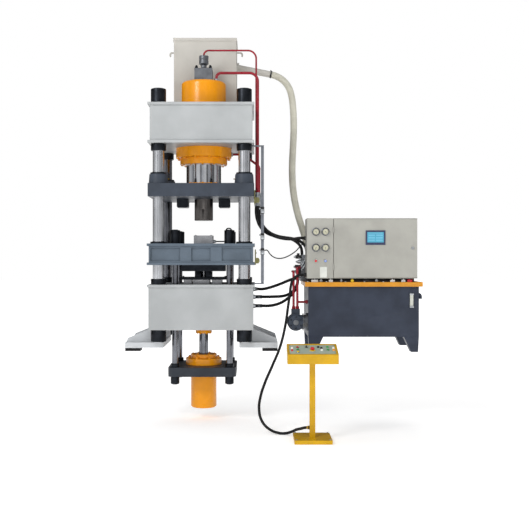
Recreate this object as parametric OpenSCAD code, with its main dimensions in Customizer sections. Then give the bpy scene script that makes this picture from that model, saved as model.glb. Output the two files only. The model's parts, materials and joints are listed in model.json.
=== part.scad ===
// Four-column powder-forming hydraulic press with its power unit and operator console.
// Millimetres. The origin is on the press axis in the plane of the feet's undersides,
// with +X towards the power unit, +Y to the back and +Z up.

/* [Columns] */
// Diameter of the four guide columns
column_d = 120; // [100:1:126]
// Distance between column centres, both ways
column_pitch = 900; // [880:2:920]
// Outside diameter of the round column nuts
column_nut_d = 160; // [150:1:170]
// Height of the nuts on top of the upper beam
crown_nut_h = 150; // [90:1:170]
// Height of the nuts under the upper beam
hanger_nut_h = 75; // [50:1:80]
// Height of the nuts on top of the lower beam
seat_nut_h = 59; // [40:1:80]
// Height of the nuts under the lower beam
base_nut_h = 126; // [80:1:128]
// Length of column that stands past its outer nuts
column_end = 6; // [2:1:8]

/* [Beams] */
// Height of the lower beam's underside above the foundation
lower_beam_z = 226; // [222:1:260]
// Height of the lower beam
lower_beam_h = 473; // [440:1:480]
// Width of the lower beam's body
lower_beam_w = 1092; // [1070:2:1110]
// Overhang of the lower beam's top plate
lower_lip = 15; // [8:1:24]
// Clear height between the beams
daylight_h = 1477; // [1470:1:1600]
// Height of the upper beam
upper_beam_h = 424; // [380:1:440]
// Width of the upper beam's body
upper_beam_w = 1066; // [1060:2:1080]
// Overhang of the upper beam's plates
upper_lip = 22; // [10:1:24]
// Thickness of the beams' plates
beam_plate_t = 28; // [20:1:36]

/* [Main cylinder] */
// Outside diameter of the main cylinder
cylinder_d = 486; // [470:1:500]
// Height of the cylinder's head above the upper beam
cylinder_cap_h = 303; // [290:1:330]
// Edge radius of the cylinder's head
cap_round = 35; // [15:1:45]
// Diameter of the cylinder's flange
cylinder_flange_d = 608; // [580:1:640]
// Height of the cylinder's flange
cylinder_flange_h = 109; // [90:1:110]
// Diameter of the gland ring
gland_d = 514; // [490:1:540]
// Height of the gland ring
gland_h = 74; // [60:1:76]
// Bore of the main cylinder
cylinder_bore = 400; // [396:1:420]
// Thickness of the cylinder's head
cylinder_head_t = 83; // [60:1:86]
// Diameter of the main ram
ram_d = 380; // [340:1:390]
// Length of the main ram above the slide
ram_l = 863; // [700:1:866]
// Diameter of the ring that holds the ram to the slide
ram_ring_d = 429; // [410:1:460]
// Height of the ram ring
ram_ring_h = 35; // [20:1:38]

/* [Prefill valve and tank] */
// Width of the prefill valve block
valve_block_w = 195; // [170:1:220]
// Height of the prefill valve block
valve_block_h = 145; // [130:1:180]
// Diameter of the valve's neck
valve_neck_d = 64; // [50:1:90]
// Height of the valve's neck
valve_neck_h = 62; // [50:1:70]
// Diameter of the valve's cap
valve_cap_d = 104; // [80:1:120]
// Height of the valve's cap
valve_cap_h = 88; // [60:1:110]
// Width of the prefill tank
prefill_w = 704; // [640:2:720]
// Depth of the prefill tank
prefill_l = 500; // [420:2:540]
// Height of the prefill tank
prefill_h = 859; // [800:1:900]
// Distance from the press axis to the tank's front
prefill_y = 260; // [255:1:290]
// Height of the band round the tank's top
prefill_rim_h = 34; // [20:1:50]
// Overhang of the band round the tank's top
prefill_rim_lip = 8; // [4:1:14]
// Diameter of the tank's outlet and of the hose on it
outlet_d = 75; // [60:1:85]
// Diameter of the duct from the tank to the valve
duct_d = 110; // [80:1:125]

/* [Slide] */
// Height of the slide's underside at rest
slide_z = 1619; // [1612:1:1620]
// Width of the slide plate
slide_w = 1108; // [1090:2:1112]
// Thickness of the slide plate
slide_t = 138; // [120:1:140]
// Diameter of a column boss at the plate
boss_base_d = 204; // [196:1:206]
// Diameter of a column boss at its top
boss_top_d = 190; // [180:1:194]
// Height of the column bosses
boss_h = 98; // [60:1:110]
// Outside diameter of the guide bushes
bush_d = 140; // [136:1:146]
// Flange diameter of the guide bushes
bush_flange_d = 172; // [160:1:178]
// Flange height of the guide bushes
bush_flange_h = 18; // [10:1:24]
// Diameter of the upper punch
punch_d = 202; // [150:1:220]
// Height of the upper punch
punch_h = 232; // [200:1:236]
// Diameter of the cross hole in the upper punch
punch_hole_d = 27; // [16:1:34]
// Height of the cross hole above the punch's face
punch_hole_z = 109; // [60:1:150]
// Width of the stop blocks under the slide
block_w = 125; // [80:1:160]
// Height of the stop blocks
block_h = 92; // [60:1:120]
// Length of the stop blocks
block_l = 160; // [100:1:220]
// Distance of the stop blocks from the press axis
block_x = 228; // [210:1:280]

/* [Die set] */
// Height of the die plate's underside at rest
die_plate_z = 904; // [890:1:906]
// Height of the die plate
die_plate_h = 224; // [200:1:226]
// Width of the die plate's body
die_plate_w = 1086; // [1070:2:1096]
// Overhang of the die plate's flanges
die_lip = 18; // [8:1:22]
// Thickness of the die plate's flanges
die_flange_t = 26; // [16:1:36]
// Depth of the panels sunk in the die plate's front and back
panel_depth = 22; // [6:1:26]
// Width of the ribs between the panels
rib_w = 117; // [60:1:140]
// Width of the middle panel
mid_panel_w = 200; // [140:1:240]
// Border round the panels
panel_border = 18; // [10:1:30]
// Width of the die block
die_w = 206; // [160:1:240]
// Height of the die block
die_h = 94; // [88:1:96]
// Width of the retainer under the die plate
retainer_w = 480; // [300:2:490]
// Length of the retainer under the die plate
retainer_l = 300; // [200:2:400]
// Height of the retainer under the die plate
retainer_h = 70; // [30:1:80]
// Height of the collars on the die plate's bushes
die_collar_h = 20; // [10:1:30]
// Diameter of the four tie rods
tie_rod_d = 65; // [50:1:75]
// Distance between tie rod centres, both ways
tie_rod_pitch = 580; // [560:2:620]
// Diameter of the tall nuts on the die plate
tie_nut_d = 110; // [100:1:116]
// Height of the tall nuts on the die plate
tie_nut_h = 146; // [80:1:160]

/* [Withdrawal cylinder] */
// Height of the yoke's underside at rest
yoke_z = -284; // [-300:1:-270]
// Width of the yoke
yoke_w = 724; // [720:2:780]
// Thickness of the yoke
yoke_t = 98; // [70:1:110]
// Corner radius of the yoke
yoke_round = 60; // [20:1:70]
// Diameter of the nuts on the yoke
yoke_nut_d = 93; // [88:1:110]
// Height of the nuts under the yoke
yoke_nut_h = 80; // [40:1:100]
// Height of the collars on the yoke
yoke_collar_h = 40; // [20:1:60]
// Outside diameter of the withdrawal cylinder
barrel_d = 280; // [260:1:300]
// Length of the cylinder under the yoke
barrel_drop = 372; // [300:1:420]
// Diameter of the cylinder's flange
barrel_flange_d = 392; // [340:1:420]
// Height of the cylinder's flange
barrel_flange_h = 71; // [40:1:80]
// Bore of the withdrawal cylinder
barrel_bore = 220; // [200:1:240]
// Thickness of the cylinder's bottom
barrel_base_t = 36; // [24:1:50]
// Diameter of the cylinder's end ring
end_ring_d = 287; // [270:1:320]
// Height of the cylinder's end ring
end_ring_h = 43; // [30:1:60]
// Depth of the end ring's spigot in the bore
spigot_h = 35; // [20:1:50]
// Diameter of the withdrawal rod
draw_rod_d = 100; // [80:1:120]
// Height of the piston
piston_h = 60; // [40:1:80]
// Diameter of the flange that holds the rod
rod_flange_d = 177; // [160:1:200]
// Height of the flange that holds the rod
rod_flange_h = 72; // [40:1:90]

/* [Lower tooling] */
// Height of the spacer blocks on the lower beam
spacer_h = 44; // [30:1:46]
// Length of the spacer blocks
spacer_l = 300; // [200:2:340]
// Width of the punch holder
holder_w = 520; // [440:2:540]
// Length of the punch holder
holder_l = 360; // [300:2:400]
// Thickness of the punch holder
holder_t = 25; // [18:1:26]
// Diameter of the lower punch
lower_punch_d = 57; // [40:1:70]

/* [Feet] */
// Length of a foot past the beam's side
foot_reach = 256; // [220:1:280]
// Gap between a foot and the tie rods
foot_gap = 75.5; // [60:0.5:90]
// Thickness of the foot plates
foot_plate_t = 55; // [40:1:56]
// Height of the pads under the foot plates
foot_pad_h = 35; // [20:1:36]
// Width of the pads under the foot plates
foot_pad_w = 160; // [120:1:180]
// Length of the foot plates, front to back
foot_l = 900; // [860:2:940]
// Thickness of the foot webs
foot_web_t = 60; // [30:1:80]
// Distance between the webs of a foot
foot_web_pitch = 600; // [540:2:610]
// Height of the web's toe above the foot plate
foot_toe_h = 36; // [20:1:60]
// Diameter of the anchor holes
anchor_d = 32; // [24:1:40]
// Distance between anchor holes, left to right
anchor_pitch_x = 1440; // [1420:2:1450]
// Distance between anchor holes, front to back
anchor_pitch_y = 740; // [700:2:760]

/* [Stroke rail] */
// Distance of the rail from the edge of the widest plate
rail_gap = 81; // [75:1:99]
// Front-to-back place of the rail
rail_y = -300; // [-320:1:-270]
// Width of the rail
rail_w = 32; // [20:1:36]
// Thickness of the rail and its brackets
rail_t = 12; // [6:1:16]
// Width of the strikers and rail brackets
striker_w = 60; // [40:1:64]

/* [Pipes] */
// Diameter of the pilot pipe
pilot_d = 20; // [14:1:22]
// Diameter of the pressure pipe
pressure_d = 30; // [22:1:34]
// Diameter of the return pipe
return_d = 26; // [20:1:30]
// Centreline radius of the pipe bends
pipe_bend = 55; // [45:1:60]
// Centreline radius of the bends at the top of the drops
drop_bend = 90; // [60:1:110]
// Height of the pipes' lower ends
pipe_end_z = 1694; // [1680:1:1720]

/* [Power unit] */
// Left side of the oil tank
unit_x = 1117; // [1117:1:1117]
// Front of the oil tank
unit_y = -550; // [-550:1:-550]
// Width of the oil tank
tank_w = 1149; // [1145:1:1200]
// Depth of the oil tank
tank_l = 850; // [800:2:900]
// Height of the oil tank's floor above the foundation
tank_floor_z = 157; // [140:1:180]
// Height of the oil tank
tank_h = 564; // [540:1:590]
// Wall of the oil tank
tank_wall = 6; // [4:1:10]
// Width of a leg at the tank
leg_top_w = 155; // [120:1:200]
// Width of a leg at its foot
leg_foot_w = 73; // [50:1:110]
// Thickness of the legs
leg_t = 120; // [60:1:150]
// Thickness of the tank cover's sheet
cover_t = 6; // [3:1:8]
// Height of the tank cover's skirt
cover_skirt_h = 47; // [30:1:60]
// Overhang of the tank cover
cover_lip = 35; // [20:1:50]
// Left side of the control cabinet
cabinet_x = 1103; // [1103:1:1103]
// Front of the control cabinet's body
cabinet_y = -548; // [-548:1:-548]
// Width of the control cabinet
cabinet_w = 1146; // [1120:1:1160]
// Depth of the control cabinet
cabinet_l = 348; // [320:1:352]
// Height of the control cabinet
cabinet_h = 625; // [600:1:660]
// Height of the gap between cabinet and tank cover
cabinet_gap = 38; // [20:1:60]
// Sheet thickness of the cabinet
cabinet_wall = 4; // [2:1:6]
// Width of the gauge panel
strip_w = 271; // [250:1:300]
// Thickness of the cabinet door
door_t = 18; // [12:1:24]
// Width of the joint between gauge panel and door
door_gap = 6; // [5:1:14]
// Border round the cabinet's front opening and the door
door_margin = 10; // [6:1:16]
// Diameter of the hinge pins
hinge_pin_d = 6; // [4:0.5:8]
// Diameter of the hinge knuckles
knuckle_d = 12; // [10:0.5:13]
// Height of a hinge knuckle
knuckle_h = 30; // [20:1:60]
// Width of the touchscreen's bezel
screen_w = 204; // [160:1:260]
// Height of the touchscreen's bezel
screen_h = 150; // [110:1:190]
// Diameter of the pressure gauges
gauge_d = 84; // [60:1:95]
// Height of the pressure gauges off the panel
gauge_h = 30; // [20:1:50]
// Diameter of the panel push buttons
button_d = 24; // [16:1:28]
// Diameter of the push buttons' bezels
bezel_d = 36; // [30:1:42]
// Diameter of the pump's body
pump_d = 178; // [150:1:190]
// Diameter of the pump's pipes
pump_pipe_d = 26; // [18:1:30]

/* [Console] */
// Left-to-right place of the console
console_x = 1115; // [1115:1:1115]
// Front-to-back place of the console
console_y = -1234; // [-1234:1:-1234]
// Height of the console's floor against the foundation
console_floor = -780; // [-780:1:-780]
// Width of the console's base
base_w = 360; // [300:1:420]
// Length of the console's base
base_l = 400; // [320:1:440]
// Height of the console's base
base_t = 38; // [20:1:50]
// Width of the console's square pole
pole_w = 55; // [55:1:55]
// Height of the pole above the base
pole_h = 711; // [680:1:760]
// Width of the console's box
box_w = 487; // [440:1:520]
// Depth of the console's box
box_l = 280; // [260:1:320]
// Height of the box at its front
box_front_h = 91; // [70:1:110]
// Height of the box at its back
box_rear_h = 168; // [150:1:190]
// Width of the rim round the control panel
box_rim = 22; // [12:1:30]
// Depth of the control panel under the rim
panel_sink = 5; // [2:1:10]
// Diameter of the emergency stop's mushroom head
stop_d = 42; // [34:1:50]

/* [Hidden] */
$fn = 96;
// Radial gap of a running fit
run_gap = 0.08;
// Gap round a piece that is seated in another
seat_gap = 0.3;
// Gap round a rod that passes through a plate
pass_gap = 1.5;
// How far a cutting body reaches past the face it cuts
over = 1;

// Heights that stack up from the foundation
lower_top = lower_beam_z + lower_beam_h;
upper_z = lower_top + daylight_h;
upper_top = upper_z + upper_beam_h;
cap_top = upper_top + cylinder_cap_h;
flange_z = upper_z - cylinder_flange_h;
gland_z = flange_z - gland_h;
bore_top = cap_top - cylinder_head_t;
slide_top = slide_z + slide_t;
boss_top = slide_top + boss_h;
die_plate_top = die_plate_z + die_plate_h;
die_top = die_plate_top + die_h;
yoke_top = yoke_z + yoke_t;
barrel_top = yoke_top + barrel_flange_h;
barrel_end = yoke_z - barrel_drop;
holder_z = lower_top + spacer_h;
foot_top = foot_pad_h + foot_plate_t;
lower_side = lower_beam_w / 2;
die_edge = die_plate_w / 2 + die_lip;
// Edge of the widest plate or beam, from the press axis
press_edge = max(slide_w / 2, die_edge, upper_beam_w / 2 + upper_lip, lower_side + lower_lip);
rail_x = press_edge + rail_gap;
valve_z = cap_top + valve_block_h;
valve_top = valve_z + valve_neck_h + valve_cap_h;
prefill_top = upper_top + prefill_h;

// Power unit places
tank_top = tank_floor_z + tank_h;
cover_top = tank_top + cover_t;
cabinet_z = cover_top + cabinet_gap;
strip_t = door_t + 2;
front_y = cabinet_y - strip_t;
door_x = cabinet_x + strip_w + door_gap;
door_w = cabinet_w - strip_w - 2 * door_gap;
door_z = cabinet_z + door_margin;
door_h = cabinet_h - 2 * door_margin;
hinge_x = door_x - door_gap / 2;
hinge_y = front_y - knuckle_d / 2 - 1;
leaf_t = 3;
leaf_w = 26;
hinge_heights = [door_z + 80, door_z + door_h - 80 - 2 * knuckle_h];
gauge_xs = [cabinet_x + 91, cabinet_x + 190];
gauge_zs = [cabinet_z + 319, cabinet_z + 484];
button_z = cabinet_z + 181;
bezel_h = 8;
button_rise = 6;
screen_mid = [door_x + 432, door_z + 413];
screen_t = 8;
screen_body = [180, 40, 128];
manifold = [1060, -180, cover_top];
manifold_size = [180, 200, 178];
pump_mid = [991, -400, 303];
pump_l = 160;

// Console places
box_z = console_floor + base_t + pole_h;
box_y = console_y - box_l / 2;
panel_tilt = atan((box_rear_h - box_front_h) / box_l);
panel_l = box_l / cos(panel_tilt);
control_d = 22;
control_bezel_d = 30;
control_bezel_h = 5;
control_rise = 6;
control_stem = 26;

// Places [x, y] of the three pipes' drops
pilot_drop = [press_edge + 15, 0];
pressure_drop = [press_edge + 32, -60];
return_drop = [press_edge + 49, 60];
coupling_len = 148;
hose_d = 32;
hose_top_z = pipe_end_z - coupling_len;
// Height and y of the three hose ports on the lower beam's side, and the length of their fittings
beam_ports = [[-100, 640, 44], [-60, 553, 94], [-160, 460, 94]];

// Routes of the hoses and cables, each a list of points along its middle
suction_route = [[742, 510, 3097], [757, 510, 3094], [804, 508, 3079], [848, 505, 3057], [888, 502, 3027],
    [922, 498, 2991], [949, 494, 2949], [969, 489, 2903], [985, 484, 2840], [996, 478, 2764],
    [1003, 470, 2676], [1007, 456, 2584], [1006, 425, 2420], [996, 385, 2220], [986, 340, 2020],
    [988, 295, 1830], [1008, 255, 1640], [1046, 215, 1460], [1094, 175, 1300], [1142, 140, 1130],
    [1176, 118, 950], [1190, 110, 850], [1190, 110, 767]];
pressure_route = concat(drop_start(pressure_drop), [[606, -70, 1392], [642, -96, 1316], [702, -136, 1254],
    [776, -180, 1212], [858, -224, 1188], [930, -258, 1180], [985, -282, 1182], [1025, -295, 1188],
    [1058, -300, 1190], [1085, -300, 1190]]);
pilot_route = concat(drop_start(pilot_drop), [[590, -5, 1392], [624, -12, 1318], [680, -22, 1260],
    [750, -32, 1226], [828, -42, 1210], [900, -52, 1200], [960, -60, 1183], [1007, -67, 1158],
    [1044, -73, 1125], [1067, -78, 1083], [1075, -80, 1036], [1075, -80, 990]]);
return_route = concat(drop_start(return_drop), [[624, 58, 1394], [660, 54, 1322], [718, 46, 1264],
    [792, 34, 1226], [872, 20, 1206], [956, 2, 1194], [1036, -16, 1172], [1098, -30, 1126],
    [1132, -38, 1060], [1140, -40, 1015], [1140, -40, 985]]);
sensor_route = [[rail_x + 26, rail_y, 1060], [rail_x + 48, rail_y, 1060], [724, -298, 1018],
    [768, -294, 984], [812, -289, 973], [858, -284, 976], [906, -279, 992], [954, -274, 1018],
    [1000, -269, 1052], [1040, -262, 1094], [1066, -260, 1120], [1088, -260, 1120]];
lower_route = [port_start(0), [650, -100, 640], [715, -102, 653.5], [780, -105, 674], [845, -110, 698],
    [905, -118, 723], [948, -124, 740.6], [972, -127, 748.6], [993, -129, 753.3], [1011, -130, 755],
    [1030, -130, 755]];
left_route = [port_start(1), [705, -60, 553], [775, -58, 555], [845, -54, 558], [910, -48, 572],
    [966, -38, 602], [1006, -28, 648], [1026, -21, 698], [1030, -20, 730],
    [1030, -20, 745]];
right_route = [port_start(2), [710, -160, 460], [778, -154, 470], [842, -146, 492], [898, -136, 524],
    [946, -122, 564], [986, -106, 610], [1013, -92, 656], [1027, -83, 702], [1030, -80, 731],
    [1030, -80, 745]];
console_route = [[1073, -450, 800], [1054, -450, 800], [1012, -451, 791], [976, -453, 767],
    [951, -456, 730], [940, -460, 690], [928, -468, 600], [908, -486, 464], [878, -520, 270],
    [822, -572, 54], [740, -640, -134], [660, -708, -309], [616, -768, -443], [604, -818, -547],
    [628, -866, -650], [700, -912, -728], [800, -945, -764], [870, -970, -762], [930, -1005, -738],
    [972, -1058, -708], [1005, -1115, -690], [1030, -1163, -674], [1052, -1199, -663], [1072, -1220, -658]];

function unit(v) = v / norm(v);
function end_of(route) = route[len(route) - 1];
// First points of a hose under a pipe's drop
function drop_start(drop) = [[drop[0], drop[1], hose_top_z], [drop[0], drop[1], hose_top_z - 76]];
// First point of a hose at port i of the lower beam
function port_start(i) = [lower_side + beam_ports[i][2], beam_ports[i][0], beam_ports[i][1]];
// A direction square to t
function side_of(t) = abs(t[1]) < 0.9 ? unit(cross([0, 1, 0], t)) : unit(cross([1, 0, 0], t));
// Matrix that sets local x, y and z along three directions, with the origin at p
function axes_at(x, y, z, p) = [[x[0], y[0], z[0], p[0]], [x[1], y[1], z[1], p[1]],
    [x[2], y[2], z[2], p[2]], [0, 0, 0, 1]];
// Direction of a route at point i
function heading(route, i) = unit(route[min(i + 1, len(route) - 1)] - route[max(i - 1, 0)]);
// Straight length that a bend of radius r takes up at b
function bend_cut(a, b, c, r) = r * tan(acos(unit(b - a) * unit(c - b)) / 2);
// Points of an arc
function arc(mid, r, from, to, steps) =
    [for (i = [0 : steps]) let (a = from + (to - from) * i / steps) mid + r * [cos(a), sin(a)]];

// Children at the four corners of a square or rectangle
module at_corners(pitch_x, pitch_y) {
    for (x = [-pitch_x / 2, pitch_x / 2], y = [-pitch_y / 2, pitch_y / 2])
        translate([x, y, 0]) children();
}

module at_columns() at_corners(column_pitch, column_pitch) children();

module at_tie_rods() at_corners(tie_rod_pitch, tie_rod_pitch) children();

// Upright hole through the heights z0 to z1
module hole(d, z0, z1) translate([0, 0, z0 - over]) cylinder(d = d, h = z1 - z0 + 2 * over);

// Box on its centre line, standing on z
module plate(w, l, h, z) translate([-w / 2, -l / 2, z]) cube([w, l, h]);

// Plain ring standing on z
module ring(outer, inner, h, z) {
    difference() {
        translate([0, 0, z]) cylinder(d = outer, h = h);
        hole(inner, z, z + h);
    }
}

// Round nut with chamfered edges and four spanner slots
module round_nut(outer, inner, h, z) {
    edge = 5;
    slot_w = outer / 8;
    slot_depth = outer / 20;
    slot_h = min(h / 2, 40);
    difference() {
        translate([0, 0, z]) rotate_extrude()
            polygon([[inner / 2, 0], [outer / 2 - edge, 0], [outer / 2, edge], [outer / 2, h - edge],
                [outer / 2 - edge, h], [inner / 2, h]]);
        for (turn = [45 : 90 : 315])
            rotate(turn) translate([outer / 2 - slot_depth, -slot_w / 2, z + h - slot_h])
                cube([slot_depth + over, slot_w, slot_h + over]);
    }
}

// Guide bush with a flange on its top
module flanged_bush(length, z) {
    bore = column_d + 2 * run_gap;
    edge = 3;
    translate([0, 0, z]) rotate_extrude()
        polygon([[bore / 2, -length], [bush_d / 2, -length], [bush_d / 2, 0], [bush_flange_d / 2, 0],
            [bush_flange_d / 2, bush_flange_h - edge], [bush_flange_d / 2 - edge, bush_flange_h],
            [bore / 2, bush_flange_h]]);
}

// Straight round bar from p to q
module bar(p, q, d) {
    t = unit(q - p);
    s = side_of(t);
    multmatrix(axes_at(s, cross(t, s), t, p)) cylinder(d = d, h = norm(q - p));
}

// Round bend of radius r at b, between the directions from a and to c
module elbow(a, b, c, d, r) {
    t = unit(b - a);
    u = unit(c - b);
    side = unit(u - t * (t * u));
    middle = b - t * bend_cut(a, b, c, r) + side * r;
    multmatrix(axes_at(-side, t, cross(t, side), middle))
        rotate_extrude(angle = acos(t * u)) translate([r, 0]) circle(d = d);
}

// Short sleeve over the joint of a bend at corner with the straight towards the next point
module weld_collar(corner, next, cut, d) {
    t = unit(next - corner);
    length = 10;
    bar(corner + t * (cut - length / 2), corner + t * (cut + length / 2), d);
}

// Pipe of diameter d through the points, with weld collars that stand proud and round bends of radius r,
// or of the radii in the list r
module bent_pipe(points, d, r, collar = 0) {
    last = len(points) - 1;
    bends = [for (i = [0 : last]) is_list(r) ? r[i - 1] : r];
    cuts = [for (i = [0 : last])
        i == 0 || i == last ? 0 : bend_cut(points[i - 1], points[i], points[i + 1], bends[i])];
    for (i = [0 : last - 1]) {
        t = unit(points[i + 1] - points[i]);
        bar(points[i] + t * cuts[i], points[i + 1] - t * cuts[i + 1], d);
    }
    for (i = [1 : last - 1]) {
        elbow(points[i - 1], points[i], points[i + 1], d, bends[i]);
        if (collar > 0) {
            weld_collar(points[i], points[i - 1], cuts[i], d + 2 * collar);
            weld_collar(points[i], points[i + 1], cuts[i], d + 2 * collar);
        }
    }
}

// Flexible tube swept along a route
module cord_tube(route, d, sides) {
    rings = len(route);
    ring_points = [for (i = [0 : rings - 1])
        let (t = heading(route, i), s = side_of(t), w = cross(t, s))
        for (k = [0 : sides - 1]) route[i] + d / 2 * (cos(360 * k / sides) * s + sin(360 * k / sides) * w)];
    walls = [for (i = [0 : rings - 2], k = [0 : sides - 1])
        let (a = i * sides + k, b = i * sides + (k + 1) % sides)
        each [[a, b + sides, b], [a, a + sides, b + sides]]];
    first = [for (k = [0 : sides - 1]) k];
    last = [for (k = [0 : sides - 1]) rings * sides - 1 - k];
    polyhedron(points = ring_points, faces = concat([first], walls, [last]));
}

module upper_beam() color("gainsboro") {
    outer = upper_beam_w + 2 * upper_lip;
    difference() {
        union() {
            plate(upper_beam_w, upper_beam_w, upper_beam_h, upper_z);
            plate(outer, outer, beam_plate_t, upper_z);
            plate(outer, outer, beam_plate_t, upper_top - beam_plate_t);
        }
        at_columns() hole(column_d + 2 * seat_gap, upper_z, upper_top);
        hole(cylinder_d + 2 * seat_gap, upper_z, upper_top);
    }
}

module lower_beam() color("gainsboro") {
    outer = lower_beam_w + 2 * lower_lip;
    difference() {
        union() {
            plate(lower_beam_w, lower_beam_w, lower_beam_h, lower_beam_z);
            plate(outer, outer, beam_plate_t, lower_top - beam_plate_t);
        }
        at_columns() hole(column_d + 2 * seat_gap, lower_beam_z, lower_top);
        at_tie_rods() hole(tie_rod_d + 2 * pass_gap, lower_beam_z, lower_top);
    }
}

module columns() color("silver") {
    bottom = lower_beam_z - base_nut_h - column_end;
    top = upper_top + crown_nut_h + column_end;
    edge = 4;
    at_columns() translate([0, 0, bottom]) rotate_extrude()
        polygon([[0, 0], [column_d / 2 - edge, 0], [column_d / 2, edge], [column_d / 2, top - bottom - edge],
            [column_d / 2 - edge, top - bottom], [0, top - bottom]]);
}

module column_nuts() color("#262423") {
    inner = column_d + 2 * seat_gap;
    at_columns() {
        round_nut(column_nut_d, inner, crown_nut_h, upper_top);
        round_nut(column_nut_d, inner, hanger_nut_h, upper_z - hanger_nut_h);
        round_nut(column_nut_d, inner, seat_nut_h, lower_top);
        round_nut(column_nut_d, inner, base_nut_h, lower_beam_z - base_nut_h);
    }
}

module main_cylinder() color("orange") {
    r = cylinder_d / 2;
    rotate_extrude()
        polygon(concat([[cylinder_bore / 2, flange_z], [cylinder_flange_d / 2 - 6, flange_z],
            [cylinder_flange_d / 2, flange_z + 6], [cylinder_flange_d / 2, upper_z], [r, upper_z]],
            arc([r - cap_round, cap_top - cap_round], cap_round, 0, 90, 8),
            [[0, cap_top], [0, bore_top], [cylinder_bore / 2, bore_top]]));
}

module cylinder_gland() color("orange") {
    edge = 5;
    inner = ram_d / 2 + run_gap;
    rotate_extrude()
        polygon([[inner, gland_z], [gland_d / 2 - edge, gland_z], [gland_d / 2, gland_z + edge],
            [gland_d / 2, flange_z], [inner, flange_z]]);
}

module prefill_valve() color("dimgray") {
    neck = valve_neck_d / 2;
    cap = valve_cap_d / 2;
    flare = 20;
    groove = 4;
    cap_z = valve_z + valve_neck_h;
    middle = cap_z + valve_cap_h / 2;
    plate(valve_block_w, valve_block_w, valve_block_h, cap_top);
    rotate_extrude()
        polygon([[0, valve_z - over], [neck + flare, valve_z - over], [neck + flare, valve_z + flare / 2],
            [neck, valve_z + flare], [neck, cap_z - flare], [cap, cap_z], [cap, middle - groove],
            [cap - groove, middle - groove], [cap - groove, middle + groove], [cap, middle + groove],
            [cap, valve_top - groove], [cap - groove, valve_top], [0, valve_top]]);
}

// Open lifting hook on the right side of the prefill tank, turned down
module tank_hook() {
    hook_z = prefill_top - 122;
    hook_r = 34;
    hook_out = 40;
    hook_w = 18;
    bar_w = 16;
    lap = 5;
    translate([prefill_w / 2, 0, hook_z]) {
        translate([-over, -bar_w / 2, (hook_w - bar_w) / 2]) cube([hook_out + lap + over, bar_w, bar_w]);
        translate([hook_out, hook_w / 2, hook_w - hook_r]) rotate([90, 0, 0]) rotate(-45)
            rotate_extrude(angle = 135) translate([hook_r - hook_w, 0]) square(hook_w);
    }
}

module prefill_tank() color("lightgray") {
    middle_y = prefill_y + prefill_l / 2;
    side = prefill_w / 2;
    out = heading(suction_route, 0);
    start = suction_route[0] - out * (suction_route[0][0] - side + over) / out[0];
    translate([0, middle_y, 0]) {
        plate(prefill_w, prefill_l, prefill_h - 4, upper_top);
        plate(prefill_w + 2 * prefill_rim_lip, prefill_l + 2 * prefill_rim_lip, prefill_rim_h,
            prefill_top - prefill_rim_h);
        tank_hook();
        rotate(180) tank_hook();
    }
    bar(start, suction_route[0], outlet_d);
    bar(start, start + out * 19, outlet_d + 40);
    translate([0, valve_block_w / 2, cap_top + valve_block_h / 2])
        rotate([-90, 0, 0]) cylinder(d = duct_d, h = prefill_y - valve_block_w / 2 + over);
}

module pilot_pipe() color("firebrick") {
    top = valve_top + 60;
    bent_pipe([[0, 0, valve_top], [0, 0, top], [pilot_drop[0], pilot_drop[1], top],
        [pilot_drop[0], pilot_drop[1], pipe_end_z]], pilot_d, [pipe_bend, drop_bend]);
}

module pressure_pipe() color("firebrick") {
    x = 140;
    top = cap_top + 95;
    bent_pipe([[x, pressure_drop[1], cap_top + 30], [x, pressure_drop[1], top],
        [pressure_drop[0], pressure_drop[1], top], [pressure_drop[0], pressure_drop[1], pipe_end_z]],
        pressure_d, [pipe_bend, drop_bend]);
}

module return_pipe() color("firebrick") {
    y = return_drop[1];
    port_z = flange_z + cylinder_flange_h / 2;
    start = sqrt(pow(cylinder_flange_d / 2, 2) - y * y) + 20;
    bent_pipe([[start, y, port_z], [start + 110, y, port_z], [return_drop[0], y, port_z - 130],
        [return_drop[0], y, pipe_end_z]], return_d, pipe_bend, 2);
}

// Coupling between a pipe's lower end and its hose
module pipe_coupling(drop, pipe) {
    nut = 60;
    translate([drop[0], drop[1], hose_top_z]) {
        cylinder(d = hose_d + 6, h = coupling_len - nut);
        translate([0, 0, coupling_len - nut]) cylinder(d = pipe + 18, h = nut - over, $fn = 6);
        translate([0, 0, coupling_len - over]) cylinder(d = pipe + 8, h = over);
    }
}

module pipe_fittings() color("silver") {
    flange_y = return_drop[1];
    face = sqrt(pow(cylinder_flange_d / 2, 2) - flange_y * flange_y);
    pipe_coupling(pilot_drop, pilot_d);
    pipe_coupling(pressure_drop, pressure_d);
    pipe_coupling(return_drop, return_d);
    translate([140, pressure_drop[1], cap_top]) cylinder(d = pressure_d + 20, h = 30, $fn = 6);
    difference() {
        translate([face - 15, flange_y, flange_z + cylinder_flange_h / 2])
            rotate([0, 90, 0]) cylinder(d = return_d + 20, h = 35);
        hole(cylinder_flange_d, flange_z, upper_z);
    }
    for (port = beam_ports)
        translate([lower_side, port[0], port[1]]) rotate([0, 90, 0]) {
            cylinder(d = hose_d + 16, h = 22, $fn = 6);
            cylinder(d = hose_d + 6, h = port[2]);
        }
}

// Limit switch on the rail's front, with its roller on the striker's side
module limit_switch(z) {
    body = [40, 38, 70];
    translate([rail_x - body[0] / 2, rail_y - rail_t / 2 - body[1], z]) cube(body);
    translate([rail_x - body[0] / 2 - 6, rail_y - rail_t / 2 - 34, z + 52])
        rotate([90, 0, 0]) translate([0, 0, -16]) cylinder(d = 18, h = 12);
    translate([rail_x - body[0] / 2 - 6, rail_y - rail_t / 2 - 26, z + 47]) cube([12, 4, 10]);
}

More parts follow.
